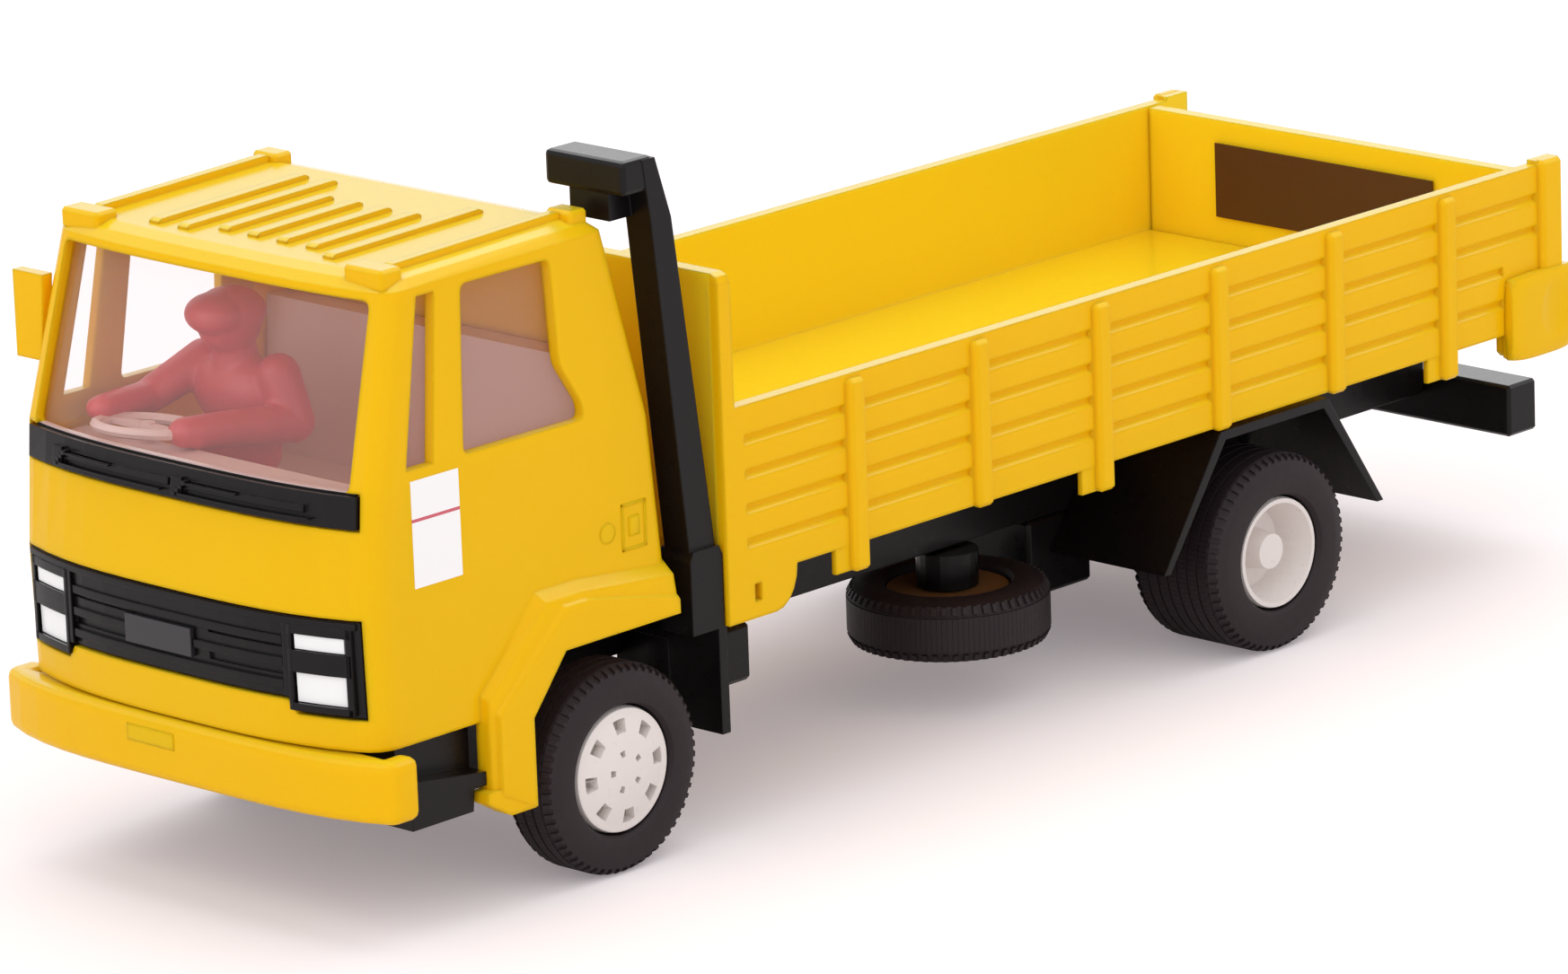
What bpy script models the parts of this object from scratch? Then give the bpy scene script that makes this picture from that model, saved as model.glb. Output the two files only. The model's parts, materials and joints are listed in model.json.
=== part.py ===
"""Toy cargo truck: a cab-over cab on a black chassis, with a slatted load bed.

Metres, +Z up. The truck faces -Y and stands on z = 0. Pieces are placed in the
truck's own space, whose y = 0 is the front plane of the cab's corners, and one
empty moves the whole truck so that the origin is under the middle of its box.
"""

import math

import bmesh
import bpy
from mathutils import Matrix, Vector

# Gap between neighbouring pieces
GAP = 0.0003

# Main widths and lengths, which the other places follow
CAB_HALF_WIDTH = 0.0305
BED_HALF_WIDTH = 0.0333
BED_FRONT_Y = 0.0574
BED_REAR_Y = 0.2160
BUMPER_OVERHANG = 0.0033
BUMPER_HALF_WIDTH = CAB_HALF_WIDTH + BUMPER_OVERHANG

# Wheels and axles
WHEEL_RADIUS = 0.013
FRONT_AXLE_Y = 0.0392
REAR_OVERHANG = 0.0577
REAR_AXLE_Y = BED_REAR_Y - REAR_OVERHANG
FRONT_TYRE_FACE_X = CAB_HALF_WIDTH + 0.0022
REAR_TYRE_FACE_X = BED_HALF_WIDTH + 0.0007
FRONT_TYRE_WIDTH = 0.0080
REAR_TYRE_WIDTH = 0.0150
FRONT_HUB_RADIUS = 0.0078
REAR_HUB_RADIUS = 0.0073
TYRE_SHOULDER = 0.0016
HUB_RECESS = 0.0006
REAR_DISH_DEPTH = 0.0050
REAR_BOSS_RADIUS = 0.0027
AXLE_RADIUS = 0.0010
AXLE_PLAY = 0.0004
AXLE_SEAT = 0.0050
FRONT_HUB_DOME = 0.0010
ROUND_STEPS = 48

# Cab block, from its foot to the roof
CAB_WALL = 0.0014
CAB_FRONT_CORNER = 0.0030
CAB_REAR_CORNER = 0.0016
CAB_BOTTOM_Z = 0.0239
CAB_FRONT_FOOT_Y = 0.0008
CAB_FRONT_GRILLE_Y = 0.0004
SCUTTLE_Y = 0.0016
SCUTTLE_Z = 0.0550
HEADER_Y = 0.0076
HEADER_Z = 0.0778
ROOF_FRONT_Y = 0.0108
ROOF_FRONT_Z = 0.0794
ROOF_REAR_Y = 0.0395
ROOF_REAR_Z = 0.0802
CAB_REAR_TOP_Y = 0.0432
CAB_REAR_TOP_Z = 0.0785
CAB_REAR_WAIST_Y = 0.0481
CAB_REAR_FOOT_Y = 0.0498
CAB_REAR_FOOT_Z = 0.0366
ROOF_NARROWING = 0.0017
ROOF_ROUND = 0.0030
BOW_REACH = CAB_HALF_WIDTH - 0.0019
BOW_POWER = 3
BOW_AT_GRILLE = 0.0037
BOW_AT_SCUTTLE = 0.0025
BOW_AT_HEADER = 0.0017
BOW_STEPS = 14

# Windows
WINDSCREEN_LOW_HALF = CAB_HALF_WIDTH - 0.0033
WINDSCREEN_TOP_HALF = CAB_HALF_WIDTH - 0.0043
WINDSCREEN_TOP_Z = 0.0768
WINDOW_SILL_Z = 0.0568
WINDOW_TOP_Z = 0.0768
QUARTER_FRONT_LOW_Y = 0.0076
QUARTER_FRONT_TOP_Y = 0.0119
QUARTER_REAR_LOW_Y = 0.0120
QUARTER_REAR_TOP_Y = 0.0148
DOOR_WINDOW_FRONT_LOW_Y = 0.0170
DOOR_WINDOW_FRONT_TOP_Y = 0.0191
DOOR_WINDOW_REAR_TOP_Y = 0.0338
DOOR_WINDOW_REAR_LOW_Y = 0.0370
DOOR_WINDOW_KINK_Z = 0.0640
DOOR_WINDOW_ROUND = 0.0010

# Roof rails and ribs
ROOF_RAIL_X = CAB_HALF_WIDTH - 0.0055
ROOF_RAIL_WIDTH = 0.0014
ROOF_RAIL_HEIGHT = 0.0009
FRONT_BLOCK_INNER_X = CAB_HALF_WIDTH - 0.0093
FRONT_BLOCK_OUTER_X = CAB_HALF_WIDTH - 0.0028
FRONT_BLOCK_Y = 0.0076
FRONT_BLOCK_LENGTH = 0.0036
FRONT_BLOCK_DROP = 0.0016
REAR_BLOCK_INNER_X = CAB_HALF_WIDTH - 0.0073
REAR_BLOCK_OUTER_X = CAB_HALF_WIDTH - 0.0030
REAR_BLOCK_LENGTH = 0.0030
ROOF_BLOCK_HEIGHT = 0.0010
ROOF_RIB_COUNT = 7
LONG_RIBS = (0, 1, 6)
ROOF_RIB_WIDTH = 0.0017
ROOF_RIB_HEIGHT = 0.0006
ROOF_RIB_PITCH = 0.0050
LONG_RIB_FRONT_Y = 0.0112
LONG_RIB_REAR_Y = 0.0360
SHORT_RIB_FRONT_Y = 0.0132
SHORT_RIB_REAR_Y = 0.0306

# Wheel arch flares
FLARE_BULGE = 0.0023
FLARE_HALF_WIDTH = CAB_HALF_WIDTH + FLARE_BULGE
ARCH_TOP_Z = 0.0302
ARCH_FRONT_Y = 0.0243
ARCH_FRONT_SLANT = 0.0058
ARCH_KNEE_Z = 0.0232
FLARE_FOOT_Z = 0.0122
FLARE_FRONT_Y = 0.0187
FLARE_SHOULDER_Z = 0.0246
FLARE_CORNER_Y = 0.0308
FLARE_CORNER_Z = 0.0350
FLARE_REAR_Y = 0.0496
FLARE_REAR_TOP_Z = 0.0320
FLARE_UNDERSIDE = 0.0034
FLARE_TOE_FRONT_Y = 0.0163
FLARE_TOE_TOP_Z = 0.0157
FLARE_TOE_FACE = 0.0013

# Front bumper
BUMPER_BOW = 0.0040
BUMPER_BOTTOM_Z = 0.0158
BUMPER_TOP_Z = 0.0236
BUMPER_DEPTH = 0.0045
BUMPER_ROUND = 0.0012
BUMPER_RETURN = 0.0034
BUMPER_BACK_Y = 0.0019

# Grille panel and lamps
GRILLE_HALF_WIDTH = BOW_REACH
GRILLE_BOTTOM_Z = 0.0280
GRILLE_TOP_Z = 0.0397
GRILLE_MIDDLE_BOTTOM_Z = 0.0296
GRILLE_RECESS = 0.0003
PANEL_THICKNESS = 0.0022
SLAT_COUNT = 3
SLAT_DEPTH = 0.0004
PLATE_HALF_WIDTH = 0.0062
PLATE_HEIGHT = 0.0036
LAMP_INNER_X = GRILLE_HALF_WIDTH - 0.0086
LAMP_OUTER_X = GRILLE_HALF_WIDTH - 0.0020
LAMP_SURROUND = 0.0012
HEADLAMP_BOTTOM_Z = 0.0293
HEADLAMP_TOP_Z = 0.0329
INDICATOR_BOTTOM_Z = 0.0358
INDICATOR_TOP_Z = 0.0376
LAMP_THICKNESS = 0.0010
LAMP_PROUD = 0.0002

# Windscreen sill
SILL_HALF_WIDTH = CAB_HALF_WIDTH - 0.0022
SILL_BOTTOM_Z = 0.0508
SILL_TOP_Z = 0.0547
SILL_THICKNESS = 0.0008
SILL_PROUD = 0.0002
WIPER_WIDTH = 0.0009
WIPER_HEIGHT = 0.0005
WIPER_ROOT_LEFT_X = 0.0010
WIPER_ROOT_MARGIN = 0.0073
WIPER_ROOT_RIGHT_X = WIPER_ROOT_MARGIN - SILL_HALF_WIDTH
WIPER_SPACE = 0.0015
WIPER_REACH = WIPER_ROOT_LEFT_X - WIPER_ROOT_RIGHT_X - WIPER_SPACE
WIPER_DROP = 0.0010
WIPER_LIFT = 0.0004

# Mirror on the right side
MIRROR_REACH = 0.0044
MIRROR_BOTTOM_Z = 0.0612
MIRROR_TOP_Z = 0.0720
MIRROR_Y = 0.0058
MIRROR_THICKNESS = 0.0016

# Glazing and the inside of the cab
GLASS_THICKNESS = 0.0007
GLASS_LAP = 0.0012
TRAY_FLOOR_GAP = 0.0006
TRAY_THICKNESS = 0.0012
TRAY_FRONT_Y = 0.0060
TRAY_REAR_GAP = 0.0012
SEAT_TOP_Z = 0.0430
SEAT_FRONT_Y = 0.0180
SEAT_BACK_Z = 0.0625
SEAT_BACK_THICKNESS = 0.0042
SEAT_BACK_LEAN = 0.0010
SEAT_BACK_CHAMFER = 0.0030
DASH_TOP_Z = 0.0525
DASH_DEPTH = 0.0060
DASH_UNDERCUT = 0.7
STEERING_WHEEL_RADIUS = 0.0062
STEERING_WHEEL_TUBE = 0.0007
STEERING_WHEEL_TILT = 8
STEERING_SPOKE_HALF_WIDTH = 0.0008
STEERING_SPOKE_HALF_THICKNESS = 0.0004
STEERING_COLUMN_RADIUS = 0.0010
STEERING_COLUMN_LENGTH = 0.0014

# Driver, the toy's own seated figure
DRIVER_X = -0.0162
DRIVER_Y = 0.0250
TORSO_HALF_WIDTH = 0.0072
TORSO_HALF_DEPTH = 0.0044
TORSO_HALF_HEIGHT = 0.0088
HEAD_RADIUS = 0.0045
HEAD_RISE = 0.0220
HEAD_FORWARD = 0.0008
CAP_RISE = 0.0012
CAP_RADIUS = 0.0048
CAP_PEAK_REACH = 0.0078
CAP_PEAK_HALF_WIDTH = 0.0034
CAP_PEAK_THICKNESS = 0.0010
SHOULDER_OUT = 0.0062
SHOULDER_RISE = 0.0142
ELBOW_OUT = 0.0090
ELBOW_FORWARD = 0.0008
ELBOW_RISE = 0.0092
HAND_OUT = 0.0091
HAND_FORWARD = 0.0136
HAND_RISE = 0.0116
ARM_RADIUS = 0.0017
FOREARM_RADIUS = 0.0017

# Chassis
RAIL_INNER_X = 0.0090
RAIL_OUTER_X = 0.0140
RAIL_BOTTOM_Z = 0.0200
CHASSIS_TOP_Z = 0.0345
CHASSIS_FRONT_Y = 0.0060
AXLE_BLOCK_HALF_LENGTH = 0.0045
AXLE_BLOCK_BOTTOM_Z = 0.0095
AXLE_BLOCK_SIDE_STEP = 0.0005
CROSS_MEMBER_LENGTH = 0.0060
CROSS_MEMBER_LAP = 0.0010
CROSS_MEMBER_RISE = 0.0020
BEHIND_AXLE = 0.0110
STEP_FRONT_Y = 0.0052
STEP_REAR_Y = 0.0175
STEP_BOTTOM_Z = 0.0136
STEP_FRONT_TOP_Z = 0.0195
STEP_REAR_TOP_Z = 0.0180
STEP_NOTCH_Z = 0.0163
STEP_NOTCH_Y = 0.0155
STEP_SETBACK = 0.0026
STEP_OUTER_X = BUMPER_HALF_WIDTH - STEP_SETBACK
STEP_RECESS_DEPTH = 0.0027
STEP_RISER_LAP = 0.0020
STEP_RISER_TOP_Z = 0.0240
FLAP_Y = 0.0570
FLAP_THICKNESS = 0.0014
FLAP_WIDTH = 0.0088
FLAP_OUTER_X = CAB_HALF_WIDTH + 0.0013
FLAP_INNER_X = FLAP_OUTER_X - FLAP_WIDTH
FLAP_BOTTOM_Z = 0.0130
FLAP_TOP_Z = 0.0265
FLAP_ARM_HEIGHT = 0.0030
HOUSING_AHEAD = 0.0263
HOUSING_FRONT_Y = REAR_AXLE_Y - HOUSING_AHEAD
HOUSING_LENGTH = 0.0120
HOUSING_BOTTOM_Z = 0.0095
GUARD_TOP_Z = 0.0315
GUARD_TOP_AHEAD = 0.0108
GUARD_TOP_BEHIND = 0.0101
GUARD_FOOT_AHEAD = 0.0223
GUARD_FOOT_BEHIND = 0.0207
GUARD_TOP_FRONT_Y = REAR_AXLE_Y - GUARD_TOP_AHEAD
GUARD_TOP_REAR_Y = REAR_AXLE_Y + GUARD_TOP_BEHIND
GUARD_FRONT_FOOT_Y = REAR_AXLE_Y - GUARD_FOOT_AHEAD
GUARD_FRONT_FOOT_Z = 0.0150
GUARD_REAR_FOOT_Y = REAR_AXLE_Y + GUARD_FOOT_BEHIND
GUARD_REAR_FOOT_Z = 0.0155
GUARD_THICKNESS = 0.0012
GUARD_OUTER_X = BED_HALF_WIDTH + 0.0003
CROSSBAR_HALF_WIDTH = BED_HALF_WIDTH - 0.0048
CROSSBAR_REAR_Y = BED_REAR_Y + 0.0008
CROSSBAR_DEPTH = 0.0058
CROSSBAR_FRONT_Y = CROSSBAR_REAR_Y - CROSSBAR_DEPTH
CROSSBAR_BOTTOM_Z = 0.0160
CROSSBAR_TOP_Z = 0.0230
TANK_FRONT_Y = 0.0590
TANK_LENGTH = 0.0087
TANK_BOTTOM_Z = 0.0166
TANK_TOP_Z = 0.0240
TANK_OUTER_X = 0.0268

# Spare wheel, lying flat under the bed
SPARE_X = 0.0135
SPARE_AHEAD = 0.0411
SPARE_Y = REAR_AXLE_Y - SPARE_AHEAD
SPARE_BOTTOM_Z = 0.0078
SPARE_WIDTH = 0.0080
SPARE_HUB_RECESS = 0.0010
CARRIER_RADIUS = 0.0040

# Air intake stack
STACK_WIDTH = 0.0042
STACK_OUTER_X = CAB_HALF_WIDTH + 0.0017
STACK_INNER_X = STACK_OUTER_X - STACK_WIDTH
STACK_TOP_FRONT_Y = 0.0478
STACK_TOP_REAR_Y = 0.0512
STACK_FOOT_FRONT_Y = 0.0522
STACK_FOOT_REAR_Y = 0.0566
STACK_FOOT_Z = 0.0360
STACK_BASE_TOP_Z = 0.0372
STACK_BASE_SIDE_STEP = 0.0006
STACK_BASE_FRONT_Y = 0.0516
STACK_LIP_RISE = 0.0008
STACK_LIP_HEIGHT = 0.0034
STACK_LIP_BOTTOM_Z = CAB_REAR_TOP_Z + STACK_LIP_RISE
STACK_HEAD_HEIGHT = 0.0043
STACK_HEAD_BOTTOM_Z = STACK_LIP_BOTTOM_Z + STACK_LIP_HEIGHT
STACK_HEAD_TOP_Z = STACK_HEAD_BOTTOM_Z + STACK_HEAD_HEIGHT
STACK_SHOULDER_DROP = 0.0080
STACK_SHOULDER_Z = STACK_HEAD_TOP_Z - STACK_SHOULDER_DROP
STACK_HEAD_LENGTH = 0.0132
STACK_HEAD_FRONT_Y = 0.0434
STACK_HEAD_REAR_Y = 0.0488
STACK_LIP_LENGTH = 0.0097
STACK_LIP_STEP = 0.0006

# Load bed
BED_WALL = 0.0018
BED_FLOOR_THICKNESS = 0.0018
BED_SIDE_BOTTOM_Z = 0.0321
BED_SIDE_TOP_Z = 0.0537
HEADBOARD_THICKNESS = 0.0022
HEADBOARD_TOP_Z = 0.0706
HEADBOARD_ROUND = 0.0012
FRONT_LUG_BOTTOM_Z = 0.0268
FRONT_LUG_LENGTH = 0.0082
FRONT_LUG_SLOPE = 0.0121
FRONT_LUG_HOLE_WIDTH = 0.0012
FRONT_LUG_HOLE_HEIGHT = 0.0022
FRONT_LUG_HOLE_FORWARD = 0.0052
FRONT_LUG_HOLE_Z = 0.0300
BAY_COUNT = 7
BAY_FIRST_Y = BED_FRONT_Y + 0.0004
BAY_END_MARGIN = 0.0007
BAY_PITCH = (BED_REAR_Y - BAY_END_MARGIN - BAY_FIRST_Y) / BAY_COUNT
STAKE_WIDTH = 0.0029
STAKE_HEIGHT = 0.0010
STAKE_TOP_GAP = 0.0006
STAKE_ROUND = 0.0005
STAKE_FOOT_Z = 0.0288
STAKE_FOOT_FORWARD = 0.0025
STAKES_WITH_FEET = (1, 3, 6)
GROOVE_COUNT = 4
GROOVE_DEPTH = 0.0006
GROOVE_HEIGHT = 0.0014
GROOVE_MARGIN = 0.0003
GROOVE_LEAD = 0.0016
POST_LENGTH = 0.0042
POST_TOP_Z = 0.0543
REAR_LUG_LENGTH = 0.0130
REAR_LUG_REAR_Y = BED_REAR_Y + 0.0017
REAR_LUG_BOTTOM_Z = 0.0286
REAR_LUG_TOP_Z = 0.0396
REAR_LUG_BULGE = 0.0013
REAR_LUG_ROUND = 0.0007
LUG_SLOT_FRONT = 0.0062
LUG_SLOT_WIDTH = 0.0040
LUG_SLOT_BOTTOM_Z = 0.0322
LUG_SLOT_TOP_Z = 0.0372
LUG_SLOT_DEPTH = 0.0005

# Tailgate
GATE_FRONT_Y = BED_REAR_Y - 0.0082
GATE_THICKNESS = 0.0020
GATE_BOTTOM_Z = 0.0353
GATE_TOP_Z = 0.0535
GATE_HINGE_Y = BED_REAR_Y - 0.0028
GATE_HINGE_Z = 0.0347
GATE_ARM_WIDTH = 0.0022
GATE_ARM_RADIUS = 0.0018
GATE_ARM_START = 0.0022
GATE_ARM_HEIGHT = 0.0081
GATE_PIN_RADIUS = 0.0010
GATE_PIN_PLAY = 0.0003
LABEL_HALF_LENGTH = 0.0190
LABEL_BOTTOM_Z = 0.0402
LABEL_TOP_Z = 0.0504
LABEL_THICKNESS = 0.0003

# Overall places worked out from the sizes above
STAKE_FACE_X = BED_HALF_WIDTH + STAKE_HEIGHT
LUG_FACE_X = BED_HALF_WIDTH + REAR_LUG_BULGE
LEFTMOST_X = max(STAKE_FACE_X, LUG_FACE_X, REAR_TYRE_FACE_X)
MIRROR_OUTER_X = CAB_HALF_WIDTH + MIRROR_REACH
FRAME_X = (MIRROR_OUTER_X - LEFTMOST_X) / 2
FRAME_Y = (BUMPER_BOW - REAR_LUG_REAR_Y) / 2
TRAY_FLOOR_Z = CHASSIS_TOP_Z + TRAY_FLOOR_GAP
BED_FLOOR_BOTTOM_Z = CHASSIS_TOP_Z + GAP
BED_FLOOR_TOP_Z = BED_FLOOR_BOTTOM_Z + BED_FLOOR_THICKNESS
EDGE = 0.0001
BELOW = 0.05

YELLOW = (0.871, 0.497, 0.008)
BLACK = (0.012, 0.011, 0.013)
RUBBER = (0.022, 0.021, 0.023)
WHITE = (0.80, 0.79, 0.76)
RED = (0.60, 0.03, 0.05)
BROWN = (0.045, 0.018, 0.010)
GREY_TRAY = (0.30, 0.24, 0.24)
CLEAR = (0.90, 0.80, 0.83)
STEEL = (0.55, 0.56, 0.58)

for old in list(bpy.data.objects):
    bpy.data.objects.remove(old, do_unlink=True)


def material(name, colour, roughness, metallic=0.0, alpha=1.0):
    made = bpy.data.materials.new(name)
    made.use_nodes = True
    shader = made.node_tree.nodes["Principled BSDF"]
    shader.inputs["Base Color"].default_value = (*colour, 1.0)
    shader.inputs["Roughness"].default_value = roughness
    shader.inputs["Metallic"].default_value = metallic
    shader.inputs["Alpha"].default_value = alpha
    return made


yellow_plastic = material("yellow_plastic", YELLOW, 0.3)
black_plastic = material("black_plastic", BLACK, 0.4)
tyre_rubber = material("tyre_rubber", RUBBER, 0.7)
white_plastic = material("white_plastic", WHITE, 0.35)
red_plastic = material("red_plastic", RED, 0.45)
label_brown = material("label_brown", BROWN, 0.5)
tray_plastic = material("tray_plastic", GREY_TRAY, 0.5)
clear_plastic = material("clear_plastic", CLEAR, 0.05, alpha=0.3)
axle_steel = material("axle_steel", STEEL, 0.3, metallic=1.0)


def empty(name, location, parent=None):
    made = bpy.data.objects.new(name, None)
    bpy.context.scene.collection.objects.link(made)
    made.location = location
    made.parent = parent
    return made


truck = empty("truck", (FRAME_X, FRAME_Y, 0))
front_axle_centre = empty("front_axle_centre", (0, FRONT_AXLE_Y, WHEEL_RADIUS), truck)
rear_axle_centre = empty("rear_axle_centre", (0, REAR_AXLE_Y, WHEEL_RADIUS), truck)
gate_hinge = empty("gate_hinge", (0, GATE_HINGE_Y, GATE_HINGE_Z), truck)


def place(name, mesh, parent):
    made = bpy.data.objects.new(name, mesh)
    bpy.context.scene.collection.objects.link(made)
    made.parent = parent
    return made


def finish(name, shape, finish_material=None, parent=truck, smooth_angle=0.6):
    """Turns a bmesh into an object with its faces pointing out."""
    bmesh.ops.recalc_face_normals(shape, faces=shape.faces)
    mesh = bpy.data.meshes.new(name)
    shape.to_mesh(mesh)
    shape.free()
    mesh.shade_smooth()
    mesh.set_sharp_from_angle(angle=smooth_angle)
    if finish_material:
        mesh.materials.append(finish_material)
    return place(name, mesh, parent)


def helper(name, shape, parent=truck):
    """A shape that only adds to or cuts another, and isn't a piece itself."""
    made = finish(name, shape, parent=parent)
    made.hide_render = True
    made.display_type = "WIRE"
    return made


def boolean(target, other, operation):
    change = target.modifiers.new(other.name, "BOOLEAN")
    change.operation = operation
    change.solver = "EXACT"
    change.object = other


def add(target, *others):
    for other in others:
        boolean(target, other, "UNION")


def cut(target, *others):
    for other in others:
        boolean(target, other, "DIFFERENCE")


def add_box(shape, low, high, bevel=0.0, segments=1):
    """Adds a box between two corners, with all its edges bevelled if asked."""
    low, high = Vector(low), Vector(high)
    made = bmesh.ops.create_cube(shape, size=1.0)
    verts = made["verts"]
    for vert in verts:
        vert.co = Vector(
            (low[i] + (vert.co[i] + 0.5) * (high[i] - low[i]) for i in range(3))
        )
    if bevel:
        edges = list({edge for vert in verts for edge in vert.link_edges})
        bmesh.ops.bevel(
            shape,
            geom=edges,
            offset=bevel,
            segments=segments,
            profile=0.5,
            affect="EDGES",
            material=-1,
        )


def box(low, high, bevel=0.0, segments=1):
    shape = bmesh.new()
    add_box(shape, low, high, bevel, segments)
    return shape


def add_prism(shape, points, axis, low, high):
    """Adds a polygon extruded along one axis. Its points give the other two axes."""
    others = [i for i in range(3) if i != axis]
    verts = []
    for point in points:
        place_at = [0.0, 0.0, 0.0]
        place_at[others[0]], place_at[others[1]] = point
        place_at[axis] = low
        verts.append(shape.verts.new(place_at))
    face = shape.faces.new(verts)
    made = bmesh.ops.extrude_face_region(shape, geom=[face])
    moved = [item for item in made["geom"] if isinstance(item, bmesh.types.BMVert)]
    step = Vector((0, 0, 0))
    step[axis] = high - low
    bmesh.ops.translate(shape, verts=moved, vec=step)


def prism(points, axis, low, high):
    shape = bmesh.new()
    add_prism(shape, points, axis, low, high)
    return shape


def lathe(profile, axis=0, steps=ROUND_STEPS):
    """Turns a closed outline of (along, radius) points about an axis."""
    shape = bmesh.new()
    across = 2 if axis == 0 else 0
    verts = []
    for along, radius in profile:
        place_at = [0.0, 0.0, 0.0]
        place_at[axis] = along
        place_at[across] = radius
        verts.append(shape.verts.new(place_at))
    edges = [shape.edges.new(pair) for pair in zip(verts, verts[1:])]
    turn_about = Vector((0, 0, 0))
    turn_about[axis] = 1.0
    bmesh.ops.spin(
        shape,
        geom=verts + edges,
        axis=turn_about,
        cent=(0, 0, 0),
        angle=2 * math.pi,
        steps=steps,
        use_merge=True,
    )
    bmesh.ops.remove_doubles(shape, verts=shape.verts, dist=1e-6)
    return shape


def cylinder(axis, centre, low, high, radius, steps=24):
    """A round rod along an axis. The centre gives its place on all three axes."""
    profile = [(low, 0), (low, radius), (high, radius), (high, 0)]
    shape = lathe(profile, axis, steps)
    bmesh.ops.translate(shape, verts=shape.verts, vec=Vector(centre))
    return shape


def inset(points, distance):
    """Moves each side of a polygon, given anticlockwise, inwards by a distance."""
    count = len(points)
    moved = []
    for i in range(count):
        before, here, after = points[i - 1], points[i], points[(i + 1) % count]
        first = (Vector(here) - Vector(before)).normalized()
        second = (Vector(after) - Vector(here)).normalized()
        normal_a = Vector((-first.y, first.x))
        normal_b = Vector((-second.y, second.x))
        bisector = (normal_a + normal_b).normalized()
        reach = distance / bisector.dot(normal_a)
        moved.append((here[0] + bisector.x * reach, here[1] + bisector.y * reach))
    return moved


def mirrored(shape):
    """The same shape on the other side of the truck."""
    copy = shape.copy()
    bmesh.ops.scale(copy, vec=(-1, 1, 1), verts=copy.verts)
    bmesh.ops.reverse_faces(copy, faces=copy.faces)
    return copy


# Wheels


def tyre_profile(face_x, width, bore):
    inner_x = face_x - width
    return [
        (face_x - HUB_RECESS, bore),
        (face_x, bore + TYRE_SHOULDER / 2),
        (face_x, WHEEL_RADIUS - TYRE_SHOULDER * 1.2),
        (face_x - TYRE_SHOULDER * 0.35, WHEEL_RADIUS - TYRE_SHOULDER * 0.4),
        (face_x - TYRE_SHOULDER, WHEEL_RADIUS),
        (inner_x + TYRE_SHOULDER, WHEEL_RADIUS),
        (inner_x + TYRE_SHOULDER * 0.35, WHEEL_RADIUS - TYRE_SHOULDER * 0.4),
        (inner_x, WHEEL_RADIUS - TYRE_SHOULDER * 1.2),
        (inner_x, bore + TYRE_SHOULDER / 2),
        (inner_x + HUB_RECESS, bore),
        (face_x - HUB_RECESS, bore),
    ]


def front_hub_profile():
    face_x = FRONT_TYRE_FACE_X - HUB_RECESS
    inner_x = FRONT_TYRE_FACE_X - FRONT_TYRE_WIDTH
    radius = FRONT_HUB_RADIUS
    seat = AXLE_RADIUS + GAP
    dome = FRONT_HUB_DOME
    return [
        (face_x + dome, 0),
        (face_x + dome * 0.94, radius * 0.25),
        (face_x + dome * 0.75, radius * 0.5),
        (face_x + dome * 0.42, radius * 0.75),
        (face_x, radius - HUB_RECESS),
        (face_x - HUB_RECESS, radius),
        (inner_x, radius),
        (inner_x, seat),
        (inner_x + AXLE_SEAT, seat),
        (inner_x + AXLE_SEAT, 0),
    ]


def rear_hub_profile():
    face_x = REAR_TYRE_FACE_X - HUB_RECESS
    inner_x = REAR_TYRE_FACE_X - REAR_TYRE_WIDTH
    radius = REAR_HUB_RADIUS
    dish_x = face_x - REAR_DISH_DEPTH
    boss_x = face_x - REAR_DISH_DEPTH * 0.25
    seat = AXLE_RADIUS + GAP
    return [
        (boss_x, 0),
        (boss_x, REAR_BOSS_RADIUS * 0.85),
        (dish_x, REAR_BOSS_RADIUS),
        (dish_x, radius * 0.72),
        (face_x, radius * 0.9),
        (face_x, radius - HUB_RECESS * 0.3),
        (face_x - HUB_RECESS, radius),
        (inner_x, radius),
        (inner_x, seat),
        (inner_x + AXLE_SEAT, seat),
        (inner_x + AXLE_SEAT, 0),
    ]


def build_axle(end, centre, tyre, hub, inner_x):
    """One axle rod with a hub and a tyre on each end."""
    reach = inner_x + AXLE_SEAT - GAP
    rod = [(-reach, 0), (-reach, AXLE_RADIUS), (reach, AXLE_RADIUS), (reach, 0)]
    finish(f"{end}_axle", lathe(rod, steps=24), axle_steel, centre)
    for side, make in (("left", lambda s: s), ("right", mirrored)):
        finish(f"{end}_tyre_{side}", make(lathe(tyre)), tyre_rubber, centre)
        finish(f"{end}_hub_{side}", make(lathe(hub)), white_plastic, centre)


build_axle(
    "front",
    front_axle_centre,
    tyre_profile(FRONT_TYRE_FACE_X, FRONT_TYRE_WIDTH, FRONT_HUB_RADIUS + GAP),
    front_hub_profile(),
    FRONT_TYRE_FACE_X - FRONT_TYRE_WIDTH,
)
build_axle(
    "rear",
    rear_axle_centre,
    tyre_profile(REAR_TYRE_FACE_X, REAR_TYRE_WIDTH, REAR_HUB_RADIUS + GAP),
    rear_hub_profile(),
    REAR_TYRE_FACE_X - REAR_TYRE_WIDTH,
)


def loft(rings, shape=None):
    """A closed solid through a stack of outlines that have equally many points."""
    shape = shape or bmesh.new()
    made = [[shape.verts.new(point) for point in ring] for ring in rings]
    sides = []
    for low, high in zip(made, made[1:]):
        for i in range(len(low)):
            j = (i + 1) % len(low)
            sides.append(shape.faces.new((low[i], low[j], high[j], high[i])))
    shape.faces.new(list(reversed(made[0])))
    shape.faces.new(made[-1])
    bmesh.ops.triangulate(shape, faces=sides)
    return shape


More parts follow.
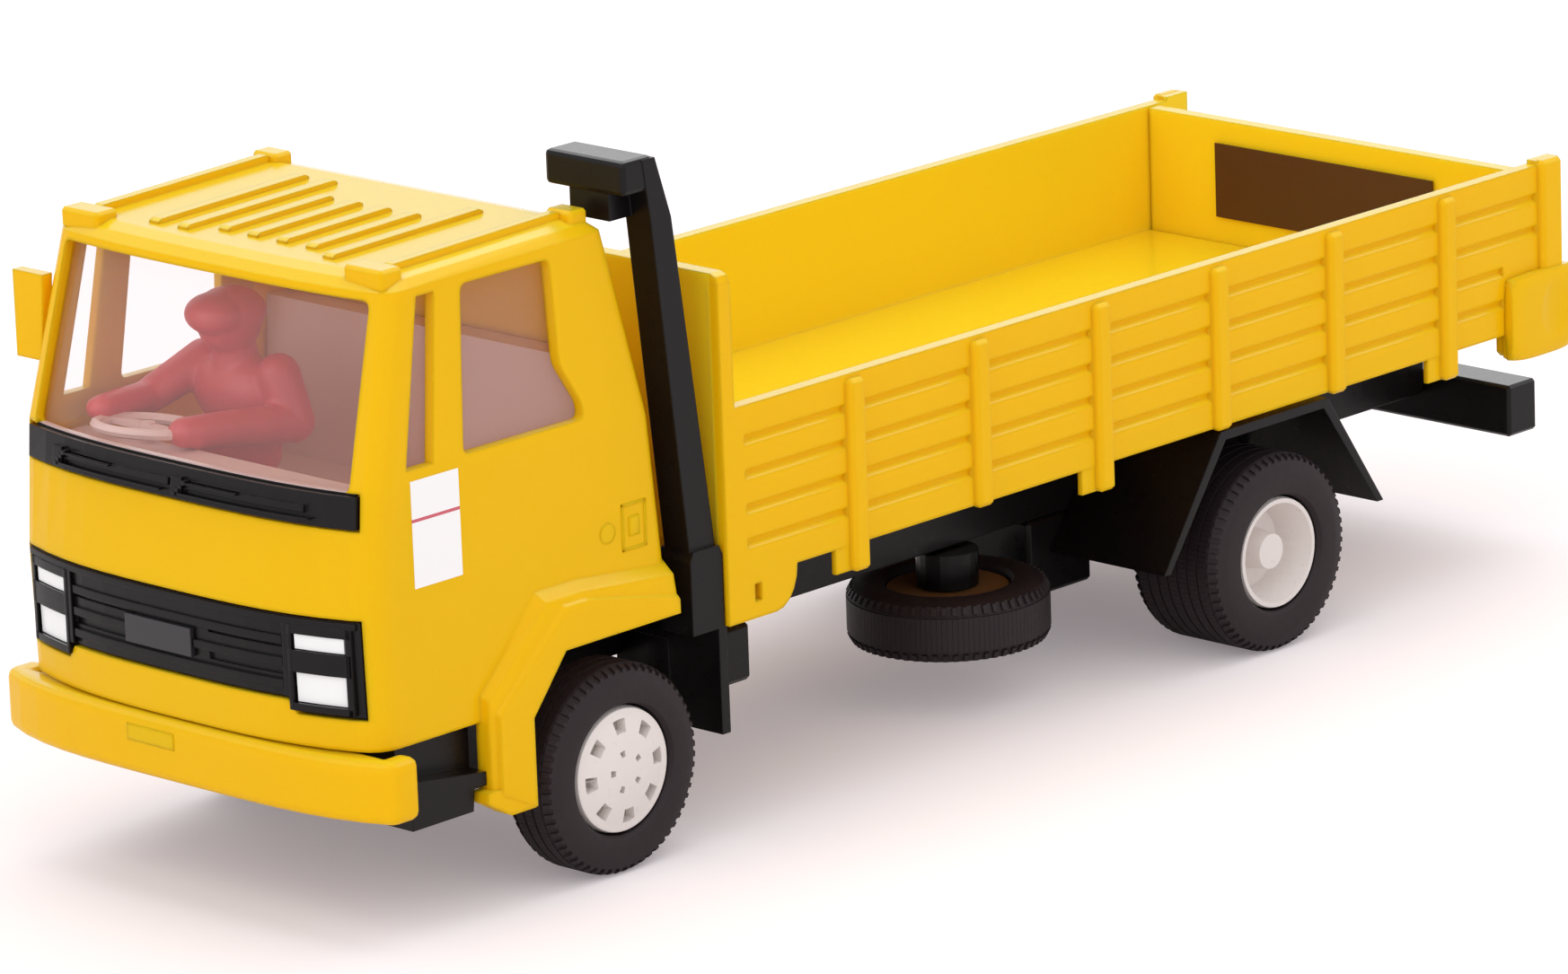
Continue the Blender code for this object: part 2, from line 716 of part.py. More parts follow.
def rounded(points, radius, steps=3):
    """The same polygon with a curve at each corner."""
    made = []
    for i, point in enumerate(points):
        here = Vector(point)
        before = Vector(points[i - 1]) - here
        after = Vector(points[(i + 1) % len(points)]) - here
        start = here + before.normalized() * min(radius, before.length * 0.45)
        end = here + after.normalized() * min(radius, after.length * 0.45)
        for k in range(steps + 1):
            t = k / steps
            spot = start * (1 - t) ** 2 + here * (2 * t * (1 - t)) + end * t**2
            made.append((spot.x, spot.y))
    return made


# Cab shell

ROOF_HALF_WIDTH = CAB_HALF_WIDTH - ROOF_NARROWING

# Each level of the cab: its front line's y and z, its rear line's y and z, half its
# width, how far its front bows, and how far an inner wall drops below it
CAB_LEVELS = [
    (CAB_FRONT_FOOT_Y, CAB_BOTTOM_Z, CAB_REAR_FOOT_Y, CAB_BOTTOM_Z, CAB_HALF_WIDTH, BOW_AT_GRILLE, 0),
    (CAB_FRONT_GRILLE_Y, GRILLE_TOP_Z, CAB_REAR_FOOT_Y, CAB_REAR_FOOT_Z, CAB_HALF_WIDTH, BOW_AT_GRILLE, 0),
    (SCUTTLE_Y, SCUTTLE_Z, CAB_REAR_WAIST_Y, SCUTTLE_Z, CAB_HALF_WIDTH, BOW_AT_SCUTTLE, 0),
    (HEADER_Y, HEADER_Z, CAB_REAR_TOP_Y, CAB_REAR_TOP_Z, ROOF_HALF_WIDTH, BOW_AT_HEADER, 0.5),
    (
        HEADER_Y * 0.6 + ROOF_FRONT_Y * 0.4,
        HEADER_Z * 0.35 + ROOF_FRONT_Z * 0.65,
        CAB_REAR_TOP_Y * 0.65 + ROOF_REAR_Y * 0.35,
        CAB_REAR_TOP_Z * 0.35 + ROOF_REAR_Z * 0.65,
        ROOF_HALF_WIDTH - ROOF_ROUND * 0.35,
        BOW_AT_HEADER,
        0.8,
    ),
    (ROOF_FRONT_Y, ROOF_FRONT_Z, ROOF_REAR_Y, ROOF_REAR_Z, ROOF_HALF_WIDTH - ROOF_ROUND, BOW_AT_HEADER, 1),
]


def bow_at(x, bow):
    return bow * (1 - (abs(x) / BOW_REACH) ** BOW_POWER)


def face_y(x, z):
    """Where the cab's bowed front face is, at a place across it and a height."""
    for low, high in zip(CAB_LEVELS, CAB_LEVELS[1:]):
        if z <= high[1]:
            break
    share = (z - low[1]) / (high[1] - low[1])
    line = low[0] + share * (high[0] - low[0])
    return line - bow_at(x, low[5] + share * (high[5] - low[5]))


def cab_half_width(z):
    """Half the cab's width, which narrows from the scuttle to the roof."""
    rise = max(0.0, (z - SCUTTLE_Z) / (HEADER_Z - SCUTTLE_Z))
    return CAB_HALF_WIDTH - rise * ROOF_NARROWING


def corner_curve(start, turn, end, steps=4):
    made = []
    for k in range(steps + 1):
        t = k / steps
        spot = Vector(start) * (1 - t) ** 2 + Vector(turn) * (2 * t * (1 - t)) + Vector(end) * t**2
        made.append((spot.x, spot.y))
    return made


def cab_ring(level, inward, height=None):
    """The cab's outline at one level, seen from above, with its walls moved in."""
    front_y, front_z, rear_y, rear_z, half, bow, drop = level
    if height is not None:
        front_z = rear_z = height
    half -= inward
    corner = max(CAB_FRONT_CORNER - inward, GAP)
    rear_corner = max(CAB_REAR_CORNER - inward, GAP)
    reach = half - corner
    line = front_y + inward
    front = []
    for i in range(BOW_STEPS + 1):
        x = reach * (2 * i / BOW_STEPS - 1)
        front.append((x, line - bow_at(x, bow)))
    slope = BOW_POWER * bow * reach ** (BOW_POWER - 1) / BOW_REACH**BOW_POWER
    turn_y = front[-1][1] + slope * corner
    left = corner_curve((reach, front[-1][1]), (half, turn_y), (half, turn_y + corner))[1:]
    back = rear_y - inward
    left += corner_curve((half, back - rear_corner), (half, back), (half - rear_corner, back))
    right = [(-x, y) for x, y in reversed(left)]
    tilt = (rear_z - front_z) / (rear_y - front_y)
    base = front_z - drop * inward
    return [(x, y, base + tilt * (y - front_y)) for x, y in front + left + right]


def cab_block(inward, bottom_z):
    """The cab as a solid, with each wall moved in by a distance."""
    rings = [cab_ring(CAB_LEVELS[0], inward, bottom_z)]
    rings += [cab_ring(level, inward) for level in CAB_LEVELS[1:]]
    return loft(rings)


def bowed_strip(x_low, x_high, z_low, z_high, front, rear, shape=None, steps=BOW_STEPS):
    """A strip along the cab's bowed face. Its front and rear are measured back from it."""
    places = [x_low + (x_high - x_low) * i / steps for i in range(steps + 1)]
    rings = []
    for z in (z_low, z_high):
        ring = [(x, face_y(x, z) + front, z) for x in places]
        ring += [(x, face_y(x, z) + rear, z) for x in reversed(places)]
        rings.append(ring)
    return loft(rings, shape)


def windscreen_cutter():
    outline = [
        (-WINDSCREEN_LOW_HALF, SCUTTLE_Z),
        (WINDSCREEN_LOW_HALF, SCUTTLE_Z),
        (WINDSCREEN_TOP_HALF, WINDSCREEN_TOP_Z),
        (-WINDSCREEN_TOP_HALF, WINDSCREEN_TOP_Z),
    ]
    outline = rounded(outline, DOOR_WINDOW_ROUND)
    return prism(outline, 1, -BOW_AT_GRILLE * 2, HEADER_Y + CAB_WALL * 2)


def quarter_window():
    return [
        (QUARTER_FRONT_LOW_Y, WINDOW_SILL_Z),
        (QUARTER_REAR_LOW_Y, WINDOW_SILL_Z),
        (QUARTER_REAR_TOP_Y, WINDOW_TOP_Z),
        (QUARTER_FRONT_TOP_Y, WINDOW_TOP_Z),
    ]


def door_window():
    outline = [
        (DOOR_WINDOW_FRONT_LOW_Y, WINDOW_SILL_Z),
        (DOOR_WINDOW_REAR_LOW_Y, WINDOW_SILL_Z),
        (DOOR_WINDOW_REAR_LOW_Y, (WINDOW_SILL_Z * 3 + DOOR_WINDOW_KINK_Z) / 4),
        (DOOR_WINDOW_REAR_TOP_Y, DOOR_WINDOW_KINK_Z),
        (DOOR_WINDOW_REAR_TOP_Y, WINDOW_TOP_Z),
        (DOOR_WINDOW_FRONT_TOP_Y, WINDOW_TOP_Z),
    ]
    return rounded(outline, DOOR_WINDOW_ROUND)


def flare_ring(x, out, top, rear_top):
    """One layer of a wheel arch flare. Its edges spread out from the outer face's."""
    arch_slant_y = ARCH_FRONT_Y + ARCH_FRONT_SLANT
    under_z = ARCH_TOP_Z - FLARE_UNDERSIDE
    points = [
        (FLARE_FRONT_Y - out * 0.3, FLARE_TOE_TOP_Z - FLARE_TOE_FACE / 2),
        (ARCH_FRONT_Y - EDGE, FLARE_FOOT_Z + EDGE),
        (ARCH_FRONT_Y + FLARE_UNDERSIDE, FLARE_FOOT_Z + FLARE_UNDERSIDE),
        (arch_slant_y + FLARE_UNDERSIDE, under_z),
        (FLARE_REAR_Y, under_z),
        (FLARE_REAR_Y, FLARE_REAR_TOP_Z + rear_top),
        (FLARE_CORNER_Y + FLARE_UNDERSIDE, FLARE_CORNER_Z + top),
        (FLARE_CORNER_Y - out, FLARE_CORNER_Z + top),
        (FLARE_FRONT_Y - out * 0.3, FLARE_SHOULDER_Z + out * 0.7),
    ]
    return [(x, y, z) for y, z in points]


def flare_shape():
    """A lip round the arch, with a ramp between it and the cab's side."""
    face = FLARE_HALF_WIDTH
    root = CAB_HALF_WIDTH - CAB_WALL / 2
    rings = [
        flare_ring(root, 0.0039, 0.0033, 0.0047),
        flare_ring(face - FLARE_BULGE * 0.43, 0.0028, 0.0014, 0.0030),
        flare_ring(face - FLARE_BULGE * 0.26, 0.0006, 0.0007, 0.0006),
        flare_ring(face - FLARE_BULGE * 0.1, 0.0003, 0.0004, 0.0003),
        flare_ring(face, 0.0, 0.0, 0.0),
    ]
    return loft(rings)


def flare_toe():
    """The flare's foot, which reaches forwards under the step plate."""
    outline = [
        (FLARE_TOE_FRONT_Y, FLARE_TOE_TOP_Z),
        (FLARE_TOE_FRONT_Y, FLARE_TOE_TOP_Z - FLARE_TOE_FACE),
        (FLARE_FRONT_Y, FLARE_FOOT_Z + FLARE_TOE_FACE * 0.6),
        (FLARE_FRONT_Y + FLARE_TOE_FACE, FLARE_FOOT_Z),
        (ARCH_FRONT_Y - EDGE * 2, FLARE_FOOT_Z),
        (ARCH_FRONT_Y - EDGE * 2, FLARE_TOE_TOP_Z),
    ]
    return prism(outline, 0, CAB_HALF_WIDTH - CAB_WALL * 0.4, FLARE_HALF_WIDTH - EDGE)


def arch_cutter():
    """Clears the wheel arch through both of the cab's sides and their flares."""
    arch_slant_y = ARCH_FRONT_Y + ARCH_FRONT_SLANT
    outline = [
        (ARCH_FRONT_Y, 0),
        (FLARE_REAR_Y + BELOW, 0),
        (FLARE_REAR_Y + BELOW, ARCH_TOP_Z + GAP),
        (arch_slant_y, ARCH_TOP_Z),
        (ARCH_FRONT_Y, ARCH_KNEE_Z),
    ]
    return prism(outline, 0, -CAB_HALF_WIDTH * 2, CAB_HALF_WIDTH * 2)


def roof_z(y):
    slope = (ROOF_REAR_Z - ROOF_FRONT_Z) / (ROOF_REAR_Y - ROOF_FRONT_Y)
    return ROOF_FRONT_Z + (y - ROOF_FRONT_Y) * slope


def roof_strip(shape, x, width, front_y, rear_y, height):
    """A raised strip along the roof, rooted inside the roof's thickness."""
    low, high = roof_z(front_y), roof_z(rear_y)
    sink = CAB_WALL / 2
    outline = [
        (front_y, low - sink),
        (rear_y, high - sink),
        (rear_y, high + height * 0.5),
        (rear_y - height, high + height),
        (front_y + height, low + height),
        (front_y, low + height * 0.5),
    ]
    add_prism(shape, outline, 0, x - width / 2, x + width / 2)


def roof_rails():
    shape = bmesh.new()
    for x in (-ROOF_RAIL_X, ROOF_RAIL_X):
        roof_strip(shape, x, ROOF_RAIL_WIDTH, ROOF_FRONT_Y, ROOF_REAR_Y, ROOF_RAIL_HEIGHT)
    for i in range(ROOF_RIB_COUNT):
        x = (i - (ROOF_RIB_COUNT - 1) / 2) * ROOF_RIB_PITCH
        front_y, rear_y = SHORT_RIB_FRONT_Y, SHORT_RIB_REAR_Y
        if i in LONG_RIBS:
            front_y, rear_y = LONG_RIB_FRONT_Y, LONG_RIB_REAR_Y
        roof_strip(shape, x, ROOF_RIB_WIDTH, front_y, rear_y, ROOF_RIB_HEIGHT)
    return shape


def roof_blocks():
    """Blocks at the roof's corners, where its rails end."""
    shape = bmesh.new()
    front_end = FRONT_BLOCK_Y + FRONT_BLOCK_LENGTH
    front_top = roof_z(front_end) + ROOF_BLOCK_HEIGHT
    front_low = ROOF_FRONT_Z - FRONT_BLOCK_DROP
    rear_start = ROOF_REAR_Y - EDGE * 5
    rear_end = rear_start + REAR_BLOCK_LENGTH
    rear_top = ROOF_REAR_Z + ROOF_BLOCK_HEIGHT
    rear_low = CAB_REAR_TOP_Z - CAB_WALL * 0.3
    for sign in (-1, 1):
        for inner, outer, y, end_y, low_z, top_z in (
            (FRONT_BLOCK_INNER_X, FRONT_BLOCK_OUTER_X, FRONT_BLOCK_Y, front_end, front_low, front_top),
            (REAR_BLOCK_INNER_X, REAR_BLOCK_OUTER_X, rear_start, rear_end, rear_low, rear_top),
        ):
            low_x, high_x = sorted((sign * inner, sign * outer))
            add_box(shape, (low_x, y, low_z), (high_x, end_y, top_z), ROOF_BLOCK_HEIGHT * 0.4)
    return shape


def grille_outline():
    """The grille panel seen from the front. It is deeper at the lamps."""
    step_x = LAMP_INNER_X - LAMP_SURROUND
    return [
        (-GRILLE_HALF_WIDTH, GRILLE_BOTTOM_Z),
        (-step_x - LAMP_SURROUND, GRILLE_BOTTOM_Z),
        (-step_x, GRILLE_MIDDLE_BOTTOM_Z),
        (step_x, GRILLE_MIDDLE_BOTTOM_Z),
        (step_x + LAMP_SURROUND, GRILLE_BOTTOM_Z),
        (GRILLE_HALF_WIDTH, GRILLE_BOTTOM_Z),
        (GRILLE_HALF_WIDTH, GRILLE_TOP_Z),
        (-GRILLE_HALF_WIDTH, GRILLE_TOP_Z),
    ]


def build_cab():
    cab = finish("cab_shell", cab_block(0, CAB_BOTTOM_Z), yellow_plastic)
    for name, shape in (("flare", flare_shape()), ("flare_toe", flare_toe())):
        other = mirrored(shape)
        add(cab, helper(f"{name}_left_blank", shape), helper(f"{name}_right_blank", other))
    add(cab, helper("roof_rails", roof_rails()), helper("roof_blocks", roof_blocks()))
    cut(cab, helper("cab_cavity", cab_block(CAB_WALL, CAB_BOTTOM_Z - BELOW)))
    cut(cab, helper("cab_arch_cutter", arch_cutter()))
    cut(cab, helper("windscreen_cutter", windscreen_cutter()))
    reach = CAB_HALF_WIDTH * 2
    windows = bmesh.new()
    add_prism(windows, quarter_window(), 0, -reach, reach)
    add_prism(windows, door_window(), 0, -reach, reach)
    cut(cab, helper("side_window_cutter", windows))
    hole = prism(inset(grille_outline(), -GAP), 1, -BOW_AT_GRILLE * 2, PANEL_THICKNESS * 2)
    cut(cab, helper("grille_hole_cutter", hole))
    tunnel = box(
        (-RAIL_OUTER_X - GAP, CAB_REAR_FOOT_Y / 2, CAB_BOTTOM_Z - BELOW),
        (RAIL_OUTER_X + GAP, CAB_REAR_FOOT_Y + BELOW, CHASSIS_TOP_Z + GAP),
    )
    cut(cab, helper("chassis_tunnel_cutter", tunnel))
    half = SILL_HALF_WIDTH + GAP
    pocket_rear = SILL_THICKNESS - SILL_PROUD + GAP
    pocket = bowed_strip(
        -half, half, SILL_BOTTOM_Z - GAP, SCUTTLE_Z + EDGE, -CAB_WALL, pocket_rear
    )
    cut(cab, helper("sill_pocket_cutter", pocket))


build_cab()


# Front bumper


def bumper_outline():
    """Plan view of the bumper, bowed forwards between its rounded ends."""
    steps = 16
    half = BUMPER_HALF_WIDTH
    front = []
    for i in range(steps + 1):
        share = -1 + 2 * i / steps
        front.append((half * share, -BUMPER_BOW * (1 - share**4)))
    inner = half - BUMPER_RETURN
    back = [
        (half, BUMPER_DEPTH),
        (inner, BUMPER_DEPTH),
        (inner, BUMPER_BACK_Y),
        (-inner, BUMPER_BACK_Y),
        (-inner, BUMPER_DEPTH),
        (-half, BUMPER_DEPTH),
    ]
    return front + back


def build_bumper():
    shape = prism(bumper_outline(), 2, BUMPER_BOTTOM_Z, BUMPER_TOP_Z)
    bumper = finish("front_bumper", shape, yellow_plastic)
    edge = bumper.modifiers.new("round", "BEVEL")
    edge.width = BUMPER_ROUND
    edge.segments = 3
    edge.limit_method = "ANGLE"
    edge.angle_limit = 0.7


build_bumper()


# Grille panel and lamps


def lamp_heights():
    return (
        (HEADLAMP_BOTTOM_Z, HEADLAMP_TOP_Z),
        (INDICATOR_BOTTOM_Z, INDICATOR_TOP_Z),
    )


def build_grille():
    half = GRILLE_HALF_WIDTH
    front = GRILLE_RECESS
    strip = bowed_strip(
        -half, half, GRILLE_BOTTOM_Z, GRILLE_TOP_Z, front, front + PANEL_THICKNESS
    )
    panel = finish("grille_panel", strip, black_plastic)
    step_x = LAMP_INNER_X - LAMP_SURROUND
    under = [
        (-step_x - LAMP_SURROUND * 1.2, GRILLE_BOTTOM_Z - LAMP_SURROUND * 0.2),
        (step_x + LAMP_SURROUND * 1.2, GRILLE_BOTTOM_Z - LAMP_SURROUND * 0.2),
        (step_x, GRILLE_MIDDLE_BOTTOM_Z),
        (-step_x, GRILLE_MIDDLE_BOTTOM_Z),
    ]
    under_cutter = prism(under, 1, -BOW_AT_GRILLE * 2, PANEL_THICKNESS * 3)
    cut(panel, helper("grille_under_cutter", under_cutter))
    grooves = bmesh.new()
    pitch = (GRILLE_TOP_Z - GRILLE_MIDDLE_BOTTOM_Z) / SLAT_COUNT
    plate_low = (GRILLE_TOP_Z + GRILLE_MIDDLE_BOTTOM_Z - PLATE_HEIGHT) / 2
    plate_high = plate_low + PLATE_HEIGHT
    reach = step_x - SLAT_DEPTH
    for i in range(1, SLAT_COUNT):
        z = GRILLE_MIDDLE_BOTTOM_Z + i * pitch
        low, high = z - pitch * 0.2, z + pitch * 0.2
        spans = [(-reach, reach)]
        if low < plate_high and high > plate_low:
            spans = [(-reach, -PLATE_HALF_WIDTH), (PLATE_HALF_WIDTH, reach)]
        for start, end in spans:
            bowed_strip(start, end, low, high, -PANEL_THICKNESS, front + SLAT_DEPTH, grooves)
    cut(panel, helper("grille_groove_cutter", grooves))
    pockets = bmesh.new()
    depth = front + LAMP_THICKNESS + GAP
    for sign in (-1, 1):
        for low, high in lamp_heights():
            inner, outer = sorted((sign * LAMP_INNER_X, sign * LAMP_OUTER_X))
            bowed_strip(
                inner - GAP, outer + GAP, low - GAP, high + GAP, -PANEL_THICKNESS, depth, pockets, 4
            )
    cut(panel, helper("lamp_pocket_cutter", pockets))


def build_lamps():
    front = GRILLE_RECESS - LAMP_PROUD
    for kind, (low, high) in zip(("headlamp", "indicator"), lamp_heights()):
        for side, sign in (("left", 1), ("right", -1)):
            inner, outer = sorted((sign * LAMP_INNER_X, sign * LAMP_OUTER_X))
            rear = GRILLE_RECESS + LAMP_THICKNESS
            shape = bowed_strip(inner, outer, low, high, front, rear, steps=4)
            finish(f"{kind}_{side}", shape, white_plastic)


build_grille()
build_lamps()


# Windscreen sill with its wipers


def build_sill():
    front = -SILL_PROUD
    half = SILL_HALF_WIDTH
    rear = SILL_THICKNESS - SILL_PROUD
    strip = bowed_strip(-half, half, SILL_BOTTOM_Z, SILL_TOP_Z, front, rear)
    sill = finish("windscreen_sill", strip, black_plastic)
    wipers = bmesh.new()
    middle_z = (SILL_BOTTOM_Z + SILL_TOP_Z) / 2
    tip = front - WIPER_HEIGHT
    root = front + SILL_THICKNESS / 2
    for start in (WIPER_ROOT_RIGHT_X, WIPER_ROOT_LEFT_X):
        blade_low, blade_high = middle_z - WIPER_WIDTH / 2, middle_z + WIPER_WIDTH / 2
        end = start + WIPER_REACH
        bowed_strip(start, end, blade_low, blade_high, tip, root, wipers, 8)
    add(sill, helper("wiper_blades", wipers))
    arms = bmesh.new()
    for start in (WIPER_ROOT_RIGHT_X, WIPER_ROOT_LEFT_X):
        low, high = middle_z - WIPER_DROP, middle_z + WIPER_LIFT + WIPER_WIDTH / 2
        far = start - WIPER_WIDTH
        bowed_strip(far, start + WIPER_WIDTH, low, high, tip - EDGE, root, arms, 2)
    add(sill, helper("wiper_arms", arms))


build_sill()


# Mirror


def build_mirror():
    low_x = -cab_half_width(MIRROR_BOTTOM_Z) - GAP
    high_x = -cab_half_width(MIRROR_TOP_Z) - GAP
    outline = [
        (-MIRROR_OUTER_X, MIRROR_BOTTOM_Z),
        (low_x, MIRROR_BOTTOM_Z),
        (high_x, MIRROR_TOP_Z),
        (-MIRROR_OUTER_X, MIRROR_TOP_Z),
    ]
    plate = prism(outline, 1, MIRROR_Y, MIRROR_Y + MIRROR_THICKNESS)
    finish("mirror", plate, yellow_plastic)


build_mirror()


# Glazing and the inside of the cab

DASH_FRONT_Y = SCUTTLE_Y + CAB_WALL + GLASS_THICKNESS + GAP * 3
INSIDE_HALF_WIDTH = CAB_HALF_WIDTH - CAB_WALL - GAP * 2


def build_glazing():
    clear = CAB_WALL + GAP
    glass = finish("glazing", cab_block(clear, CAB_BOTTOM_Z), clear_plastic)
    cavity = cab_block(clear + GLASS_THICKNESS, CAB_BOTTOM_Z - BELOW)
    cut(glass, helper("glazing_cavity", cavity))
    reach = CAB_HALF_WIDTH * 2
    floor_trim = box((-reach, -BELOW, -BELOW), (reach, BELOW * 2, SCUTTLE_Z - GLASS_LAP))
    roof_trim = box((-reach, -BELOW, WINDOW_TOP_Z + GLASS_LAP / 2), (reach, BELOW * 2, BELOW * 3))
    rear_trim = box((-reach, DOOR_WINDOW_REAR_LOW_Y + GLASS_LAP, 0), (reach, BELOW * 2, BELOW * 4))
    cut(glass, helper("glazing_floor_trim", floor_trim))
    cut(glass, helper("glazing_roof_trim", roof_trim))
    cut(glass, helper("glazing_rear_trim", rear_trim))


def build_tray():
    back_y = CAB_REAR_WAIST_Y - CAB_WALL - TRAY_REAR_GAP
    seat_y = back_y - SEAT_BACK_THICKNESS
    outline = [
        (TRAY_FRONT_Y, TRAY_FLOOR_Z),
        (back_y, TRAY_FLOOR_Z),
        (back_y, SEAT_BACK_Z - SEAT_BACK_CHAMFER * 2),
        (back_y - SEAT_BACK_LEAN, SEAT_BACK_Z),
        (seat_y, SEAT_BACK_Z),
        (seat_y - SEAT_BACK_LEAN, SEAT_TOP_Z),
        (SEAT_FRONT_Y, SEAT_TOP_Z),
        (SEAT_FRONT_Y, TRAY_FLOOR_Z + TRAY_THICKNESS),
        (TRAY_FRONT_Y, TRAY_FLOOR_Z + TRAY_THICKNESS),
    ]
    tray = prism(outline, 0, -INSIDE_HALF_WIDTH, INSIDE_HALF_WIDTH)
    finish("interior_tray", tray, tray_plastic)


def build_dashboard():
    foot_z = TRAY_FLOOR_Z + TRAY_THICKNESS + GAP
    outline = [
        (DASH_FRONT_Y, foot_z),
        (DASH_FRONT_Y + DASH_DEPTH * DASH_UNDERCUT, foot_z),
        (DASH_FRONT_Y + DASH_DEPTH, DASH_TOP_Z - DASH_DEPTH / 2),
        (DASH_FRONT_Y + DASH_DEPTH, DASH_TOP_Z),
        (DASH_FRONT_Y, DASH_TOP_Z),
    ]
    dash = prism(outline, 0, -INSIDE_HALF_WIDTH, INSIDE_HALF_WIDTH)
    finish("dashboard", dash, tray_plastic)


def build_steering_wheel():
    steps = 8
    rim = []
    for i in range(steps + 1):
        angle = math.tau * i / steps
        along = STEERING_WHEEL_TUBE * math.cos(angle)
        out = STEERING_WHEEL_RADIUS + STEERING_WHEEL_TUBE * math.sin(angle)
        rim.append((along, out))
    ring = lathe(rim, axis=2, steps=32)
    half, flat = STEERING_SPOKE_HALF_WIDTH, STEERING_SPOKE_HALF_THICKNESS
    spokes = box((-STEERING_WHEEL_RADIUS, -half, -flat), (STEERING_WHEEL_RADIUS, half, flat))
    radius = STEERING_COLUMN_RADIUS
    column = cylinder(2, (0, 0, 0), -STEERING_COLUMN_LENGTH, flat * 1.5, radius, 16)
    centre = Vector((DRIVER_X, DASH_FRONT_Y + DASH_DEPTH * 0.8, DASH_TOP_Z))
    centre.z += STEERING_COLUMN_LENGTH + GAP * 2
    lean = Matrix.Rotation(math.radians(-STEERING_WHEEL_TILT), 4, "X")
    for shape in (ring, spokes, column):
        bmesh.ops.transform(shape, matrix=Matrix.Translation(centre) @ lean, verts=shape.verts)
    steering = finish("steering_wheel", ring, tray_plastic)
    add(steering, helper("steering_spokes", spokes), helper("steering_column", column))


def limb(start, end, radius):
    """A round limb between two points, with domed ends."""
    length = (end - start).length
    dome = [(radius * 0.5, radius * 0.87), (radius * 0.87, radius * 0.5), (radius, 0)]
    profile = [(-along, out) for along, out in reversed(dome)]
    profile += [(0, radius), (length, radius)]
    profile += [(length + along, out) for along, out in dome]
    shape = lathe(profile, axis=2, steps=12)
    turn = (end - start).to_track_quat("Z", "Y").to_matrix().to_4x4()
    bmesh.ops.transform(shape, matrix=Matrix.Translation(start) @ turn, verts=shape.verts)
    return shape


def build_driver():
    """The toy's own seated figure, moulded in one colour with a plain head."""
    base_z = SEAT_TOP_Z + GAP
    torso = bmesh.new()
    bmesh.ops.create_uvsphere(torso, u_segments=20, v_segments=12, radius=1.0)
    for vert in torso.verts:
        vert.co.x = vert.co.x * TORSO_HALF_WIDTH + DRIVER_X
        vert.co.y = vert.co.y * TORSO_HALF_DEPTH + DRIVER_Y
        vert.co.z = max(vert.co.z, -0.9) * TORSO_HALF_HEIGHT + base_z + TORSO_HALF_HEIGHT * 0.9
    driver = finish("driver", torso, red_plastic)
    head_z = base_z + HEAD_RISE
    head_place = Vector((DRIVER_X, DRIVER_Y - HEAD_FORWARD, head_z))
    head = bmesh.new()
    bmesh.ops.create_uvsphere(head, u_segments=20, v_segments=12, radius=HEAD_RADIUS)
    bmesh.ops.translate(head, verts=head.verts, vec=head_place)
    neck = cylinder(
        2, (DRIVER_X, DRIVER_Y, 0), head_z - HEAD_RADIUS * 1.5, head_z, HEAD_RADIUS * 0.45, 12
    )
    cap = bmesh.new()
    bmesh.ops.create_uvsphere(cap, u_segments=20, v_segments=12, radius=CAP_RADIUS)
    for vert in cap.verts:
        vert.co.z = max(vert.co.z, 0.0) * 0.85
    bmesh.ops.translate(cap, verts=cap.verts, vec=head_place + Vector((0, 0, CAP_RISE)))
    half, reach, low = CAP_PEAK_HALF_WIDTH, CAP_PEAK_REACH, head_z + CAP_RISE + EDGE
    peak = prism(
        [
            (DRIVER_X - half * 1.2, head_place.y),
            (DRIVER_X - half, head_place.y - reach * 0.8),
            (DRIVER_X - half * 0.5, head_place.y - reach),
            (DRIVER_X + half * 0.5, head_place.y - reach),
            (DRIVER_X + half, head_place.y - reach * 0.8),
            (DRIVER_X + half * 1.2, head_place.y),
        ],
        2,
        low,
        low + CAP_PEAK_THICKNESS,
    )
    add(driver, helper("driver_neck", neck), helper("driver_head", head))
    add(driver, helper("driver_cap", cap), helper("driver_cap_peak", peak))
    for name, side in (("right", -1), ("left", 1)):
        shoulder = Vector((side * SHOULDER_OUT, 0, SHOULDER_RISE))
        elbow = Vector((side * ELBOW_OUT, -ELBOW_FORWARD, ELBOW_RISE))
        hand = Vector((side * HAND_OUT, -HAND_FORWARD, HAND_RISE))
        upper, lower = limb(shoulder, elbow, ARM_RADIUS), limb(elbow, hand, FOREARM_RADIUS)
        for shape in (upper, lower):
            bmesh.ops.translate(shape, verts=shape.verts, vec=(DRIVER_X, DRIVER_Y, base_z))
        add(driver, helper(f"driver_upper_arm_{name}", upper))
        add(driver, helper(f"driver_forearm_{name}", lower))


build_glazing()
build_tray()
build_dashboard()
build_steering_wheel()
build_driver()


# Chassis


